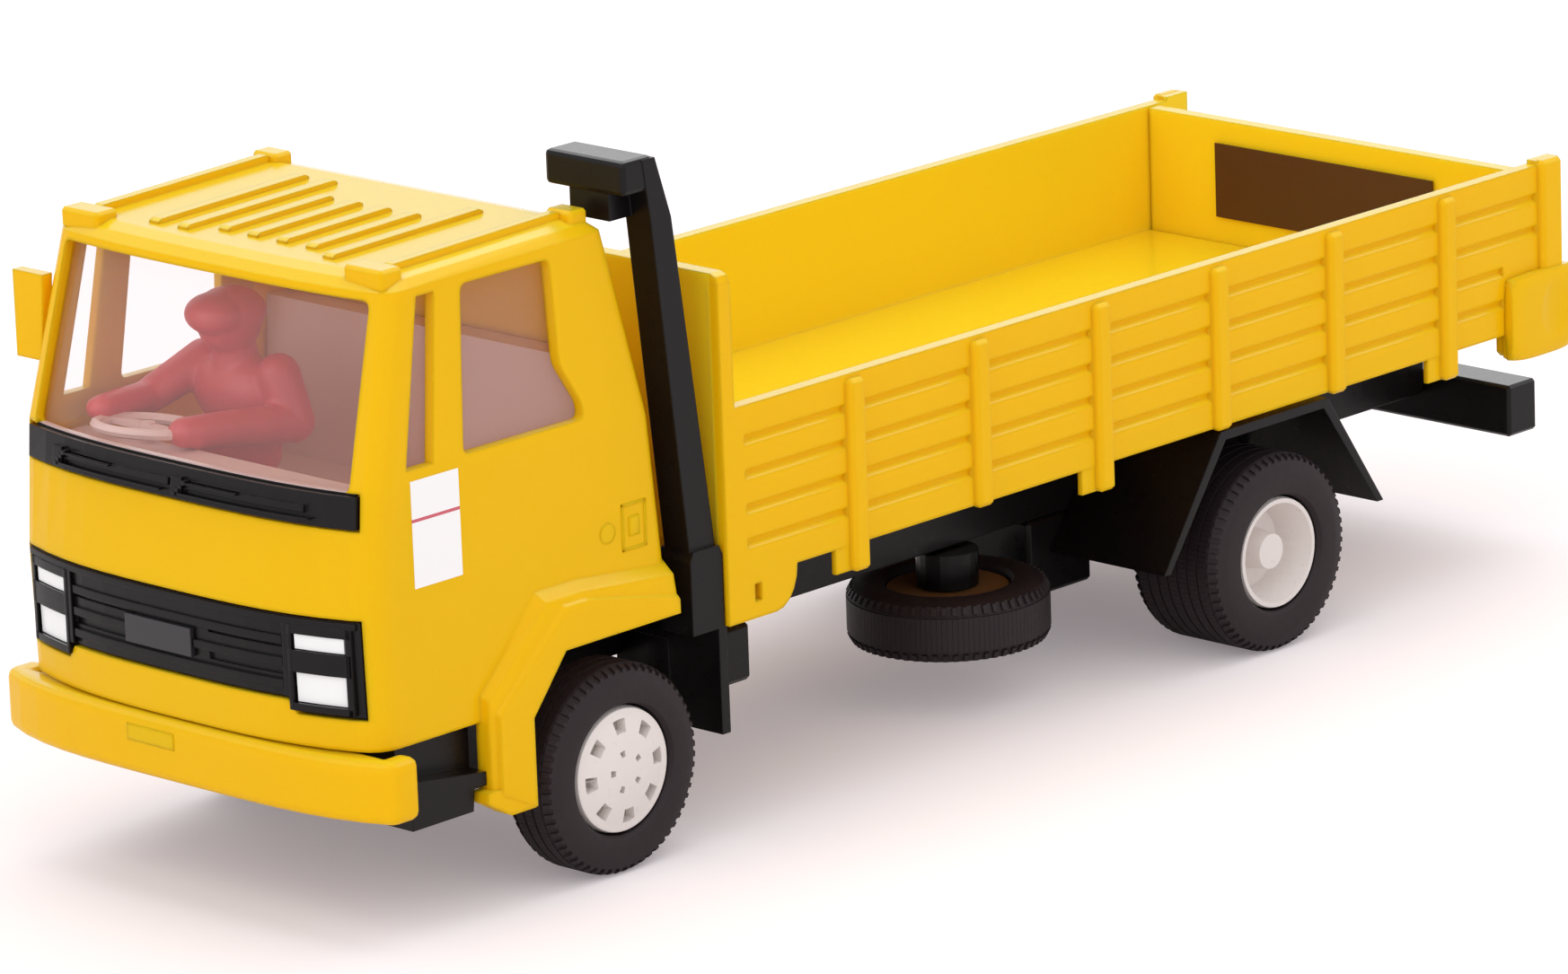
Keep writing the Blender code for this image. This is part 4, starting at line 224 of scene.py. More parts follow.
def finish_material(
    name, colour, flow, flow_share, shine, grain, bump, rounding=0.0, top=None, top_coat=0.0,
    inside=None, **sockets
):
    """A finish made from the shared surface effect and one shader.

    flow is the colour that flows through the first by flow_share, bump and rounding are lengths,
    top is a painted sheen, a paler colour for upward faces with its share, and inside is painted
    light, a paler colour inside the bed.
    """
    made = bpy.data.materials.new(name)
    made.use_nodes = True
    tree = made.node_tree
    shader = tree.nodes["Principled BSDF"]
    surface = add_node(tree, "ShaderNodeGroup", node_tree=MOULDED)
    set_inputs(
        surface, Colour=(*colour, 1.0), Flow_Colour=(*flow, 1.0), Flow_Share=flow_share,
        Shine=shine, Grain=grain,
    )
    # top sets the painted sheen of upward faces.
    if top:
        set_inputs(surface, Top_Colour=(*top[0], 1.0), Top_Share=top[1])
    relief = tree.nodes.new("ShaderNodeBump")
    set_inputs(relief, Strength=1.0, Distance=bump)
    if rounding:
        edges = add_node(tree, "ShaderNodeBevel", samples=4)
        set_inputs(edges, Radius=rounding)
        tree.links.new(edges.outputs[0], relief.inputs["Normal"])
    shown = surface.outputs["Colour"]
    # Painted light: the bed's inner faces get a paler, more lemon yellow, standing in for light.
    if inside:
        mask = add_node(tree, "ShaderNodeGroup", node_tree=BED_PAINTED_LIGHT_MASK)
        shown = mix_colour(tree, mask.outputs["Mask"], shown, inside)
    tree.links.new(shown, shader.inputs["Base Color"])
    tree.links.new(surface.outputs["Roughness"], shader.inputs["Roughness"])
    tree.links.new(surface.outputs["Height"], relief.inputs["Height"])
    tree.links.new(relief.outputs["Normal"], shader.inputs["Normal"])
    if top_coat:
        coat = maths(tree, "MULTIPLY", surface.outputs["Top"], top_coat)
        tree.links.new(coat, shader.inputs["Coat Weight"])
    set_inputs(shader, **sockets)
    return made


def clear_material():
    """Thin clear plastic: mostly see-through, with a faint pink veil and a gloss."""
    made = bpy.data.materials.new("clear_tinted_plastic")
    made.use_nodes = True
    shader = made.node_tree.nodes["Principled BSDF"]
    set_inputs(shader, Base_Color=(0.97, 0.70, 0.70, 1.0), Roughness=0.06, Alpha=0.075)
    return made


YELLOW_LOOK = {
    "colour": (0.885, 0.505, 0.003),
    "flow": (0.870, 0.478, 0.002),
    "flow_share": 0.4,
    "shine": 0.24,
    "grain": 0.03,
    "bump": 0.00003,
    "rounding": 0.0008,
    # Painted sheen: upward faces get this paler, more lemon yellow, standing in for light falling
    # on them.
    "top": ((0.875, 0.620, 0.012), 0.9),
    "top_coat": 0.9,
    "Specular_IOR_Level": 0.10,
    "Coat_Roughness": 0.16,
    "Subsurface_Weight": 0.25,
    "Subsurface_Radius": (1.0, 0.45, 0.05),
    "Subsurface_Scale": 0.003,
}
YELLOW = finish_material("golden_yellow_gloss", **YELLOW_LOOK)
# The bed's finish with painted light: a paler, more lemon yellow on the bed's inner faces.
YELLOW_BED_PAINTED_LIGHT = finish_material("golden_yellow_bed_painted_light", inside=(0.95, 0.665, 0.016), **YELLOW_LOOK)
BLACK = finish_material(
    "satin_black", (0.004, 0.003, 0.0035), (0.007, 0.0055, 0.006), 0.5, 0.30, 0.15, 0.00003,
    rounding=0.0003, top_coat=1.0, Specular_IOR_Level=0.22, Coat_Roughness=0.25,
)
RUBBER = finish_material(
    "tyre_dark_grey", (0.019, 0.012, 0.0145), (0.026, 0.018, 0.021), 0.5, 0.55, 0.5, 0.00004,
    Specular_IOR_Level=0.25,
)
WHITE = finish_material(
    "off_white_gloss", (0.80, 0.74, 0.715), (0.76, 0.69, 0.66), 0.4, 0.3, 0.2, 0.00002,
)
RED = finish_material(
    "red_satin", (0.70, 0.075, 0.085), (0.62, 0.060, 0.075), 0.5, 0.42, 0.5, 0.00004,
)
BROWN = finish_material(
    "label_dark_brown", (0.060, 0.013, 0.006), (0.073, 0.017, 0.009), 0.5, 0.4, 0.3, 0.00002,
)
TRAY = finish_material(
    "tray_grey_mauve", (0.86, 0.61, 0.57), (0.78, 0.55, 0.51), 0.5, 0.5, 0.4, 0.00004,
)
STEEL = finish_material(
    "axle_rod_steel", (0.55, 0.56, 0.58), (0.45, 0.46, 0.48), 0.5, 0.28, 0.8, 0.00002, Metallic=1.0,
)
LAMP = finish_material(
    "lamp_white", (0.93, 0.93, 0.93), (0.88, 0.88, 0.90), 0.4, 0.18, 0.2, 0.00002,
    Coat_Weight=0.4, Coat_Roughness=0.05,
)
STICKER = finish_material(
    "sticker_white", (0.96, 0.95, 0.95), (0.93, 0.92, 0.92), 0.4, 0.35, 0.3, 0.00001,
)
STRIPE = finish_material(
    "sticker_red", (0.62, 0.10, 0.14), (0.55, 0.08, 0.12), 0.4, 0.35, 0.3, 0.00001,
)
# Painted shade: the hubcap pockets' faces are made darker than the cap.
POCKET_PAINTED_SHADE = finish_material(
    "pocket_floor_painted_shade", (0.36, 0.32, 0.29), (0.30, 0.27, 0.24), 0.5, 0.5, 0.3, 0.00002,
)
# Painted light: the spare's hub is coloured warm brown for the light bounced onto it from the
# yellow bed above.
HUB_PAINTED_BOUNCE_LIGHT = finish_material(
    "spare_hub_painted_bounce_light", (0.20, 0.095, 0.035), (0.15, 0.07, 0.03), 0.6, 0.35, 0.4, 0.00003,
)
PLATE_GREY = finish_material(
    "centre_plate_grey", (0.022, 0.019, 0.023), (0.028, 0.025, 0.030), 0.4, 0.35, 0.3, 0.00002,
    rounding=0.0002,
)
# Painted highlight: a pale pink strip along the windscreen's foot.
GLASS_EDGE_PAINTED_HIGHLIGHT = finish_material(
    "glass_edge_painted_highlight", (0.72, 0.52, 0.50), (0.66, 0.47, 0.45), 0.4, 0.2, 0.2, 0.00001,
)
CLEAR = clear_material()

FINISH_OF_SLOT = {
    "yellow_plastic": YELLOW,
    "black_plastic": BLACK,
    "tyre_rubber": RUBBER,
    "white_plastic": WHITE,
    "red_plastic": RED,
    "label_brown": BROWN,
    "tray_plastic": TRAY,
    "clear_plastic": CLEAR,
    "axle_steel": STEEL,
}

for part in frame["record"]["subparts"]:
    mesh = NODES[part["node"]].data
    mesh.materials.clear()
    mesh.materials.append(FINISH_OF_SLOT[part["material_slot"]])
for node in ("headlamp_left", "headlamp_right", "indicator_left", "indicator_right"):
    NODES[node].data.materials[0] = LAMP
# The spare's hub takes the painted bounce light.
NODES["spare_hub"].data.materials[0] = HUB_PAINTED_BOUNCE_LIGHT
for node in ("load_bed", "tailgate"):
    NODES[node].data.materials[0] = YELLOW_BED_PAINTED_LIGHT


# Shapes


SHARP_ANGLE = 0.5


def piece(name, shape, finish, body, replaces=(), more=(), sharp=SHARP_ANGLE):
    """Turns a bmesh in the truck's own space into a piece that rides on a body."""
    bmesh.ops.translate(shape, verts=shape.verts, vec=SHIFT)
    mesh = bpy.data.meshes.new(name)
    shape.to_mesh(mesh)
    shape.free()
    mesh.shade_smooth()
    mesh.set_sharp_from_angle(angle=sharp)
    for item in (finish, *more):
        mesh.materials.append(item)
    made = bpy.data.objects.new(name, mesh)
    bpy.context.scene.collection.objects.link(made)
    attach(made, body)
    if replaces:
        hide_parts(*replaces)
    return made


def add_box(shape, low, high, bevel=0.0):
    low, high = Vector(low), Vector(high)
    verts = bmesh.ops.create_cube(shape, size=1.0)["verts"]
    bmesh.ops.scale(shape, vec=high - low, verts=verts)
    bmesh.ops.translate(shape, vec=(low + high) / 2, verts=verts)
    if bevel:
        edges = list({edge for vert in verts for edge in vert.link_edges})
        bmesh.ops.bevel(shape, geom=edges, offset=bevel, segments=2, profile=0.5, affect="EDGES")


def turned(profile, steps):
    """Spins an outline of (along, radius) points about the x axis."""
    shape = bmesh.new()
    verts = [shape.verts.new((along, 0, radius)) for along, radius in profile]
    edges = [shape.edges.new(pair) for pair in zip(verts, verts[1:])]
    bmesh.ops.spin(
        shape, geom=verts + edges, axis=(1, 0, 0), cent=(0, 0, 0),
        angle=math.tau, steps=steps, use_merge=True,
    )
    bmesh.ops.remove_doubles(shape, verts=shape.verts, dist=1e-6)
    bmesh.ops.recalc_face_normals(shape, faces=shape.faces)
    return shape


def to_side(shape, side):
    """Keeps a shape made for the left side, or mirrors it to the right."""
    if side == "right":
        bmesh.ops.scale(shape, vec=(-1, 1, 1), verts=shape.verts)
        bmesh.ops.reverse_faces(shape, faces=shape.faces)
    return shape


def across(side, near, far):
    """Two distances from the middle plane as x values in order, on the left (1) or right (-1)."""
    return sorted((side * near, side * far))


# Tyres

TEETH = 60  # round each shoulder
TOOTH_HEIGHT = 0.00035
RIB_HEIGHT = 0.0002
TOOTH_START = 0.0004
TOOTH_END = 0.0014
RIB_GAP = 0.0003
TOOTH_SHARE = 0.90  # of its place that a tooth fills at its tip
RIB_SHARE = 0.96


def tyre(face_x, width, bore, ribs):
    """A tyre about the x axis: smooth sides, toothed shoulders and fine rows of blocks between."""
    base = WHEEL_RADIUS - RIB_HEIGHT
    # The sidewall and shoulder, as depths from the face and radii
    side = [
        (0.0007, bore),
        (0.0001, bore + 0.0004),
        (0.0, bore + 0.0010),
        (0.0, WHEEL_RADIUS - 0.0026),
        (0.0001, WHEEL_RADIUS - 0.0018),
        (TOOTH_START, WHEEL_RADIUS - 0.0009),
        (TOOTH_END, WHEEL_RADIUS - TOOTH_HEIGHT),
        (TOOTH_END + 0.0002, base),
    ]
    start = TOOTH_END + RIB_GAP
    rib_width = (width - start * 2 - RIB_GAP * (ribs - 1)) / ribs
    middle_line = []
    bands = []
    for rib in range(ribs):
        low = start + rib * (rib_width + RIB_GAP)
        bands.append(low + rib_width / 2)
        middle_line += [(low, base), (low + rib_width, base)]
    other = [(width - inward, radius) for inward, radius in reversed(side)]
    section = side + middle_line + other + [side[0]]
    outline = [(face_x - inward, radius) for inward, radius in section]
    shape = turned(outline, TEETH * 2)
    teeth, blocks = [], []
    for face in shape.faces:
        centre = face.calc_center_median()
        inward = face_x - centre.x
        depth = min(inward, width - inward)
        step = math.floor(math.atan2(centre.z, centre.y) / math.tau * TEETH * 2 + 0.25)
        if face.normal.yz.length < 0.3 or math.hypot(centre.y, centre.z) < WHEEL_RADIUS - 0.0013:
            continue
        if TOOTH_START < depth < TOOTH_END:
            if step % 2 == 0:
                teeth.append(face)
            continue
        if any(abs(inward - place) < rib_width * 0.3 for place in bands):
            blocks.append(face)
    raised = ((teeth, TOOTH_HEIGHT, TOOTH_SHARE), (blocks, RIB_HEIGHT, RIB_SHARE))
    for faces, height, share in raised:
        for face in bmesh.ops.extrude_discrete_faces(shape, faces=faces)["faces"]:
            centre = face.calc_center_median()
            out = Vector((0, centre.y, centre.z)).normalized()
            for vert in face.verts:
                vert.co = centre + (vert.co - centre) * share + out * height
                reach = math.hypot(vert.co.y, vert.co.z)
                if reach > WHEEL_RADIUS:
                    vert.co.yz = vert.co.yz * (WHEEL_RADIUS / reach)
    return shape


def wheels(end, axle_y, face_x, width, bore, rows, body):
    for side in ("left", "right"):
        shape = to_side(tyre(face_x, width, bore, rows), side)
        bmesh.ops.translate(shape, verts=shape.verts, vec=(0, axle_y, WHEEL_RADIUS))
        node = f"{end}_tyre_{side}"
        piece(f"{node}_treaded", shape, RUBBER, body, replaces=(node,))


FRONT_FACE_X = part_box("front_tyre_left")[1].x - SHIFT.x
REAR_FACE_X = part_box("rear_tyre_left")[1].x - SHIFT.x
FRONT_TYRE_WIDTH = 0.008
FRONT_TYRE_BORE = 0.0081
REAR_TYRE_WIDTH = 0.015
REAR_TYRE_BORE = 0.0076
wheels("front", FRONT_AXLE_Y, FRONT_FACE_X, FRONT_TYRE_WIDTH, FRONT_TYRE_BORE, 3, "front_wheels")
wheels("rear", REAR_AXLE_Y, REAR_FACE_X, REAR_TYRE_WIDTH, REAR_TYRE_BORE, 7, "rear_wheels")


def spare_wheel():
    """The spare is a front tyre that lies flat under the bed."""
    shape = tyre(FRONT_TYRE_WIDTH / 2, FRONT_TYRE_WIDTH, FRONT_TYRE_BORE, 1)
    flat = Matrix.Rotation(math.pi / 2, 3, "Y")
    bmesh.ops.rotate(shape, verts=shape.verts, cent=(0, 0, 0), matrix=flat)
    bmesh.ops.translate(shape, verts=shape.verts, vec=middle("spare_tyre") - SHIFT)
    piece(
        "spare_tyre_treaded", shape, RUBBER, "truck_body", replaces=("spare_tyre",)
    )


spare_wheel()


# Front hubcaps

CAP_STEPS = 80
CAP_DOME = 0.0010
CAP_RADIUS = 0.0078
CAP_INSET = 0.0006
CAP_DEPTH = 0.0070
# Each ring of pockets: how many, inner and outer radius, turn, share of the ring, and depth
CAP_POCKETS = (
    (8, 0.0048, 0.0065, 0.556, 0.40, 0.0013),
    (5, 0.0019, 0.0027, 0.944, 0.25, 0.0010),
)
POCKET_TAPER = 0.86


def hubcap():
    """A domed cap with eight pockets round it and five near its middle, with shade painted on the
    pockets' faces.
    """
    face_x = FRONT_FACE_X - CAP_INSET

    def dome(radius):
        return face_x + CAP_DOME * (1 - (radius / CAP_RADIUS) ** 2)

    rings = [0, 0.0010, 0.0019, 0.0027, 0.0038, 0.0048, 0.0065, 0.0071]
    profile = [(dome(radius), radius) for radius in rings]
    profile += [(face_x + 0.0002, 0.0073), (face_x + 0.0001, 0.0076)]
    profile += [(face_x - CAP_INSET, CAP_RADIUS), (face_x - CAP_DEPTH, CAP_RADIUS)]
    shape = turned(profile, CAP_STEPS)
    pockets = {}
    for face in shape.faces:
        centre = face.calc_center_median()
        out = math.hypot(centre.y, centre.z)
        turn = math.atan2(centre.z, centre.y) / math.tau
        for count, low, high, phase, share, depth in CAP_POCKETS:
            if not low < out < high:
                continue
            spot = (turn * count - phase) % 1.0
            if abs(spot - 0.5) < share / 2:
                key = (count, math.floor(turn * count - phase))
                pockets.setdefault(key, (depth, []))[1].append(face)
    for depth, faces in pockets.values():
        made = bmesh.ops.extrude_face_region(shape, geom=faces)
        moved = [item for item in made["geom"] if isinstance(item, bmesh.types.BMVert)]
        bmesh.ops.delete(shape, geom=faces, context="FACES_ONLY")
        centre = sum((vert.co for vert in moved), Vector()) / len(moved)
        taper = (1, POCKET_TAPER, POCKET_TAPER)
        bmesh.ops.scale(shape, vec=taper, space=Matrix.Translation(-centre), verts=moved)
        bmesh.ops.translate(shape, vec=(-depth, 0, 0), verts=moved)
        # The pockets' new faces take the second finish, the painted shade.
        for item in made["geom"]:
            if isinstance(item, bmesh.types.BMFace):
                item.material_index = 1
    return shape


for cap_side in ("left", "right"):
    cap = to_side(hubcap(), cap_side)
    bmesh.ops.translate(cap, verts=cap.verts, vec=(0, FRONT_AXLE_Y, WHEEL_RADIUS))
    piece(
        f"front_hubcap_{cap_side}", cap, WHITE, "front_wheels",
        replaces=(f"front_hub_{cap_side}",), more=(POCKET_PAINTED_SHADE,),
    )


# Door stickers, blank apart from a thin red line

STICKER_FRONT_Y = 0.0080
STICKER_REAR_Y = 0.0158
STICKER_BOTTOM_Z = 0.0425
STICKER_TOP_Z = 0.0555
STRIPE_Z = 0.0505
STRIPE_HEIGHT = 0.0004
CAB_SIDE_X = 0.0305
STICKER_SUNK = 0.0002
STICKER_PROUD = 0.00008


def door_stickers():
    shape = bmesh.new()
    for side in (1, -1):
        for low, high in (
            (STICKER_BOTTOM_Z, STRIPE_Z),
            (STRIPE_Z, STRIPE_Z + STRIPE_HEIGHT),
            (STRIPE_Z + STRIPE_HEIGHT, STICKER_TOP_Z),
        ):
            inner, outer = across(side, CAB_SIDE_X - STICKER_SUNK, CAB_SIDE_X + STICKER_PROUD)
            before = set(shape.faces)
            add_box(shape, (inner, STICKER_FRONT_Y, low), (outer, STICKER_REAR_Y, high))
            if low == STRIPE_Z:
                for face in set(shape.faces) - before:
                    face.material_index = 1
    bmesh.ops.remove_doubles(shape, verts=shape.verts, dist=1e-6)
    piece("door_stickers", shape, STICKER, "truck_body", more=(STRIPE,))


door_stickers()


# Details that sit on the solids' own surfaces


def skin_of(node):
    mesh = NODES[node].data
    corners = [vert.co for vert in mesh.vertices]
    return BVHTree.FromPolygons(corners, [face.vertices for face in mesh.polygons])


SKINS = {
    node: skin_of(node) for node in ("grille_panel", "front_bumper", "cab_shell", "windscreen_sill")
}
AHEAD_OF_ALL_Y = -0.2
BESIDE_ALL_X = 0.1


def front_y(node, x, z):
    """Where a node's front face stands, in the truck's own space."""
    hit = SKINS[node].ray_cast(Vector((x + SHIFT.x, AHEAD_OF_ALL_Y, z)), Vector((0, 1, 0)))[0]
    return hit.y - SHIFT.y


def side_x(y, z):
    """Half the cab's width at a place on its left side."""
    hit = SKINS["cab_shell"].ray_cast(Vector((BESIDE_ALL_X, y + SHIFT.y, z)), Vector((-1, 0, 0)))[0]
    return hit.x - SHIFT.x


def add_bar(shape, low, high, proud, surface, steps=1, sunk=0.0002):
    """A bar across the front, proud of a bowed surface and sunk in it: low and high are (x, z)."""
    begun = set(shape.verts)
    add_box(shape, (low[0], -proud, low[1]), (high[0], sunk, high[1]))
    made = [vert for vert in shape.verts if vert not in begun]
    for cut in range(1, steps):
        x = low[0] + (high[0] - low[0]) * cut / steps
        part = list({item for vert in made for item in (vert, *vert.link_edges, *vert.link_faces)})
        bmesh.ops.bisect_plane(shape, geom=part, plane_co=(x, 0, 0), plane_no=(1, 0, 0), dist=1e-7)
        made = [vert for vert in shape.verts if vert not in begun]
    for vert in made:
        vert.co.y += surface(min(max(vert.co.x, low[0]), high[0]))


PANEL_SOLID_Z = 0.0393
PANEL_HALF_WIDTH = 0.0282


def panel_front(x):
    return front_y("grille_panel", max(min(x, PANEL_HALF_WIDTH), -PANEL_HALF_WIDTH), PANEL_SOLID_Z)


FRAME_BOTTOM_Z = 0.0388
FRAME_TOP_Z = 0.0396
POST_X = 0.0188
POST_HALF_WIDTH = 0.0004
POST_BOTTOM_Z = 0.0298
FRAME_PROUD = 0.0004
HOOD_PROUD = 0.0005
HOOD_BOTTOM_Z = 0.0283
HOOD_INNER_X, HOOD_OUTER_X = 0.0194, 0.0276
HOOD_CHEEKS = ((0.0270, 0.0277), (0.0192, 0.0197))
LAMP_CLEARANCE = 0.0001
SLAT_MIDDLES_Z = (0.0312, 0.0339, 0.0366)
SLAT_HALF_HEIGHT = 0.0005
SLAT_PROUD = 0.00025
PLATE_LOW = (-0.0078, 0.0322)
PLATE_HIGH = (0.0037, 0.0357)
PLATE_PROUD = 0.0005


def add_hoods(shape, side):
    """The bars above, between and below the lamps of one side, and the cheeks beside them."""
    headlamp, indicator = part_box("headlamp_left"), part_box("indicator_left")
    inner, outer = across(side, HOOD_INNER_X, HOOD_OUTER_X)
    for low, high in (
        (headlamp[1].z + LAMP_CLEARANCE, indicator[0].z - LAMP_CLEARANCE),
        (HOOD_BOTTOM_Z, headlamp[0].z - LAMP_CLEARANCE),
        (indicator[1].z + LAMP_CLEARANCE, FRAME_BOTTOM_Z),
    ):
        add_bar(shape, (inner, low), (outer, high), HOOD_PROUD, panel_front, 6)
    for cheek in HOOD_CHEEKS:
        inner, outer = across(side, *cheek)
        add_bar(shape, (inner, HOOD_BOTTOM_Z), (outer, FRAME_BOTTOM_Z), HOOD_PROUD, panel_front)


def grille_bars():
    """The frame, posts and slats that stand on the grille panel, and the lamps' hoods."""
    shape = bmesh.new()
    frame_low, frame_high = (-PANEL_HALF_WIDTH, FRAME_BOTTOM_Z), (PANEL_HALF_WIDTH, FRAME_TOP_Z)
    add_bar(shape, frame_low, frame_high, FRAME_PROUD, panel_front, 24)
    for side in (-1, 1):
        inner, outer = across(side, POST_X - POST_HALF_WIDTH, POST_X + POST_HALF_WIDTH)
        add_bar(shape, (inner, POST_BOTTOM_Z), (outer, FRAME_BOTTOM_Z), FRAME_PROUD, panel_front)
        add_hoods(shape, side)
    reach = POST_X - POST_HALF_WIDTH - 0.0002
    for middle_z in SLAT_MIDDLES_Z:
        spans = ((-reach, reach),)
        if PLATE_LOW[1] < middle_z < PLATE_HIGH[1]:
            spans = ((-reach, PLATE_LOW[0]), (PLATE_HIGH[0], reach))
        for start, end in spans:
            low, high = (start, middle_z - SLAT_HALF_HEIGHT), (end, middle_z + SLAT_HALF_HEIGHT)
            add_bar(shape, low, high, SLAT_PROUD, panel_front, 12)
    piece("grille_bars", shape, BLACK, "truck_body")
    plate = bmesh.new()
    add_bar(plate, PLATE_LOW, PLATE_HIGH, PLATE_PROUD, panel_front, 8)
    piece("grille_centre_plate", plate, PLATE_GREY, "truck_body")


grille_bars()

SILL_HALF_WIDTH = 0.0277
SILL_LIP_PROUD = 0.0003
SILL_LIP_SUNK = 0.0004
SILL_LIP_OVERLAP = 0.0002
SILL_LIP_SHARE = 0.6
WINDOW_STEP_BACK = 0.001
HIGHEST_LIP = 0.003


def sill_top():
    """The sill's narrow upper lip, and above it a pale pink strip at the windscreen's foot, a
    painted highlight.
    """
    low_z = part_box("windscreen_sill")[1].z

    def cab_front(x):
        return front_y("cab_shell", x, low_z + SILL_LIP_OVERLAP)

    foot_z = low_z
    window_y = cab_front(0) + WINDOW_STEP_BACK
    while front_y("cab_shell", 0, foot_z) < window_y and foot_z < low_z + HIGHEST_LIP:
        foot_z += 0.0001
    edge_z = low_z + (foot_z - low_z) * SILL_LIP_SHARE
    for name, low, high, finish, slot in (
        ("sill_upper_lip", low_z - SILL_LIP_OVERLAP, edge_z, BLACK, "black_plastic"),
        ("glazing_lower_edge_painted_highlight", edge_z, foot_z, GLASS_EDGE_PAINTED_HIGHLIGHT, "clear_plastic"),
    ):
        shape = bmesh.new()
        start, end = (-SILL_HALF_WIDTH, low), (SILL_HALF_WIDTH, high)
        add_bar(shape, start, end, SILL_LIP_PROUD, cab_front, 24, SILL_LIP_SUNK)
        piece(name, shape, finish, "truck_body")


sill_top()


SILL_SOLID_Z = 0.0512
SILL_SOLID_HALF_WIDTH = 0.0275
WIPER_SPANS = ((-0.0205, -0.0015), (0.0015, 0.0225))
WIPER_PROUD = 0.0008
WIPER_THICKNESS = 0.0002
ARM_Z = 0.0516
BLADE_Z = 0.0530
BLADE_START, BLADE_END = 0.0012, 0.0100
LINK_STEPS = 4
LINK_START = 0.0009
LINK_WIDTH = 0.0006
LINK_RISE = 0.0005


def wiper_details():
    """Two slim arms, each with a stepped link at its root and a short blade above it."""
    shape = bmesh.new()

    def sill_front(x):
        inside = max(min(x, SILL_SOLID_HALF_WIDTH), -SILL_SOLID_HALF_WIDTH)
        return front_y("windscreen_sill", inside, SILL_SOLID_Z)

    for root, tip in WIPER_SPANS:
        arm_top = (tip, ARM_Z + WIPER_THICKNESS)
        add_bar(shape, (root, ARM_Z), arm_top, WIPER_PROUD, sill_front, 12)
        for link in range(LINK_STEPS):
            x = root - LINK_START + link * LINK_WIDTH
            z = ARM_Z - WIPER_THICKNESS + link * LINK_RISE
            add_bar(shape, (x, z), (x + LINK_WIDTH, z + LINK_RISE), WIPER_PROUD, sill_front)
        blade_top = (root + BLADE_END, BLADE_Z + WIPER_THICKNESS)
        add_bar(shape, (root + BLADE_START, BLADE_Z), blade_top, WIPER_PROUD, sill_front, 6)
    piece("wiper_arms", shape, BLACK, "truck_body")


wiper_details()


STRIP_LOW = (-0.0078, 0.0201)
STRIP_HIGH = (0.0004, 0.0222)
STRIP_PROUD = 0.0001
STRIP_SUNK = 0.0003


def bumper_strip():
    """The bumper's small blank plate."""
    shape = bmesh.new()
    middle_z = (STRIP_LOW[1] + STRIP_HIGH[1]) / 2

    def bumper_front(x):
        return front_y("front_bumper", x, middle_z)

    add_bar(shape, STRIP_LOW, STRIP_HIGH, STRIP_PROUD, bumper_front, 6, STRIP_SUNK)
    piece("bumper_blank_strip", shape, YELLOW, "truck_body")


bumper_strip()


SQUARE_LOW = (0.0424, 0.0391)
SQUARE_HIGH = (0.0466, 0.0450)
SQUARE_LINE = 0.0004
FLAT_LOW = (0.0436, 0.0408)
FLAT_HIGH = (0.0454, 0.0433)
DOOR_PROUD = 0.00016
DOOR_SUNK = 0.0004
DOOR_BEVEL = 0.0001
CATCH_PLACE = (0.0400, 0.0420)
CATCH_RADIUS, CATCH_TOP_RADIUS = 0.0014, 0.0013
CATCH_DEPTH = 0.0006
CATCH_SUNK = 0.00018


def add_side_bar(shape, side, low, high):
    """A flat moulding on the cab's side: low and high are (y, z)."""
    face = side_x((low[0] + high[0]) / 2, (low[1] + high[1]) / 2)
    inner, outer = across(side, face - DOOR_SUNK, face + DOOR_PROUD)
    add_box(shape, (inner, *low), (outer, *high), DOOR_BEVEL)


def add_catch(shape, side):
    """A low round cap on the cab's side."""
    begun = set(shape.verts)
    bmesh.ops.create_cone(
        shape, cap_ends=True, segments=32,
        radius1=CATCH_RADIUS, radius2=CATCH_TOP_RADIUS, depth=CATCH_DEPTH,
    )
    made = [vert for vert in shape.verts if vert not in begun]
    outward = Matrix.Rotation(side * math.pi / 2, 3, "Y")
    bmesh.ops.rotate(shape, verts=made, cent=(0, 0, 0), matrix=outward)
    place = (side * (side_x(*CATCH_PLACE) - CATCH_SUNK), *CATCH_PLACE)
    bmesh.ops.translate(shape, verts=made, vec=place)


def door_mouldings():
    """The raised square and the round catch at the rear of each side of the cab."""
    (front, bottom), (rear, top) = SQUARE_LOW, SQUARE_HIGH
    shape = bmesh.new()
    for side in (1, -1):
        for low, high in (
            ((front, bottom), (front + SQUARE_LINE, top)),
            ((rear - SQUARE_LINE, bottom), (rear, top)),
            ((front, top - SQUARE_LINE), (rear, top)),
            ((front, bottom), (rear, bottom + SQUARE_LINE)),
            (FLAT_LOW, FLAT_HIGH),
        ):
            add_side_bar(shape, side, low, high)
        add_catch(shape, side)
    piece("door_mouldings", shape, YELLOW, "truck_body")


door_mouldings()


# The pad over the bed's rear lug, as (y, z) corners, and its oval dent
LUG_LOW = (0.2045, 0.0284)
LUG_HIGH = (0.2179, 0.0398)
LUG_FACE_X = 0.0350
LUG_BACK_X = 0.0334
LUG_EDGE_DROP = 0.00035
LUG_CORNER_ROUNDING = 0.05
DENT_MIDDLE = (0.2130, 0.0343)
DENT_REACH = (0.0024, 0.0038)
DENT_DEPTH = 0.00035


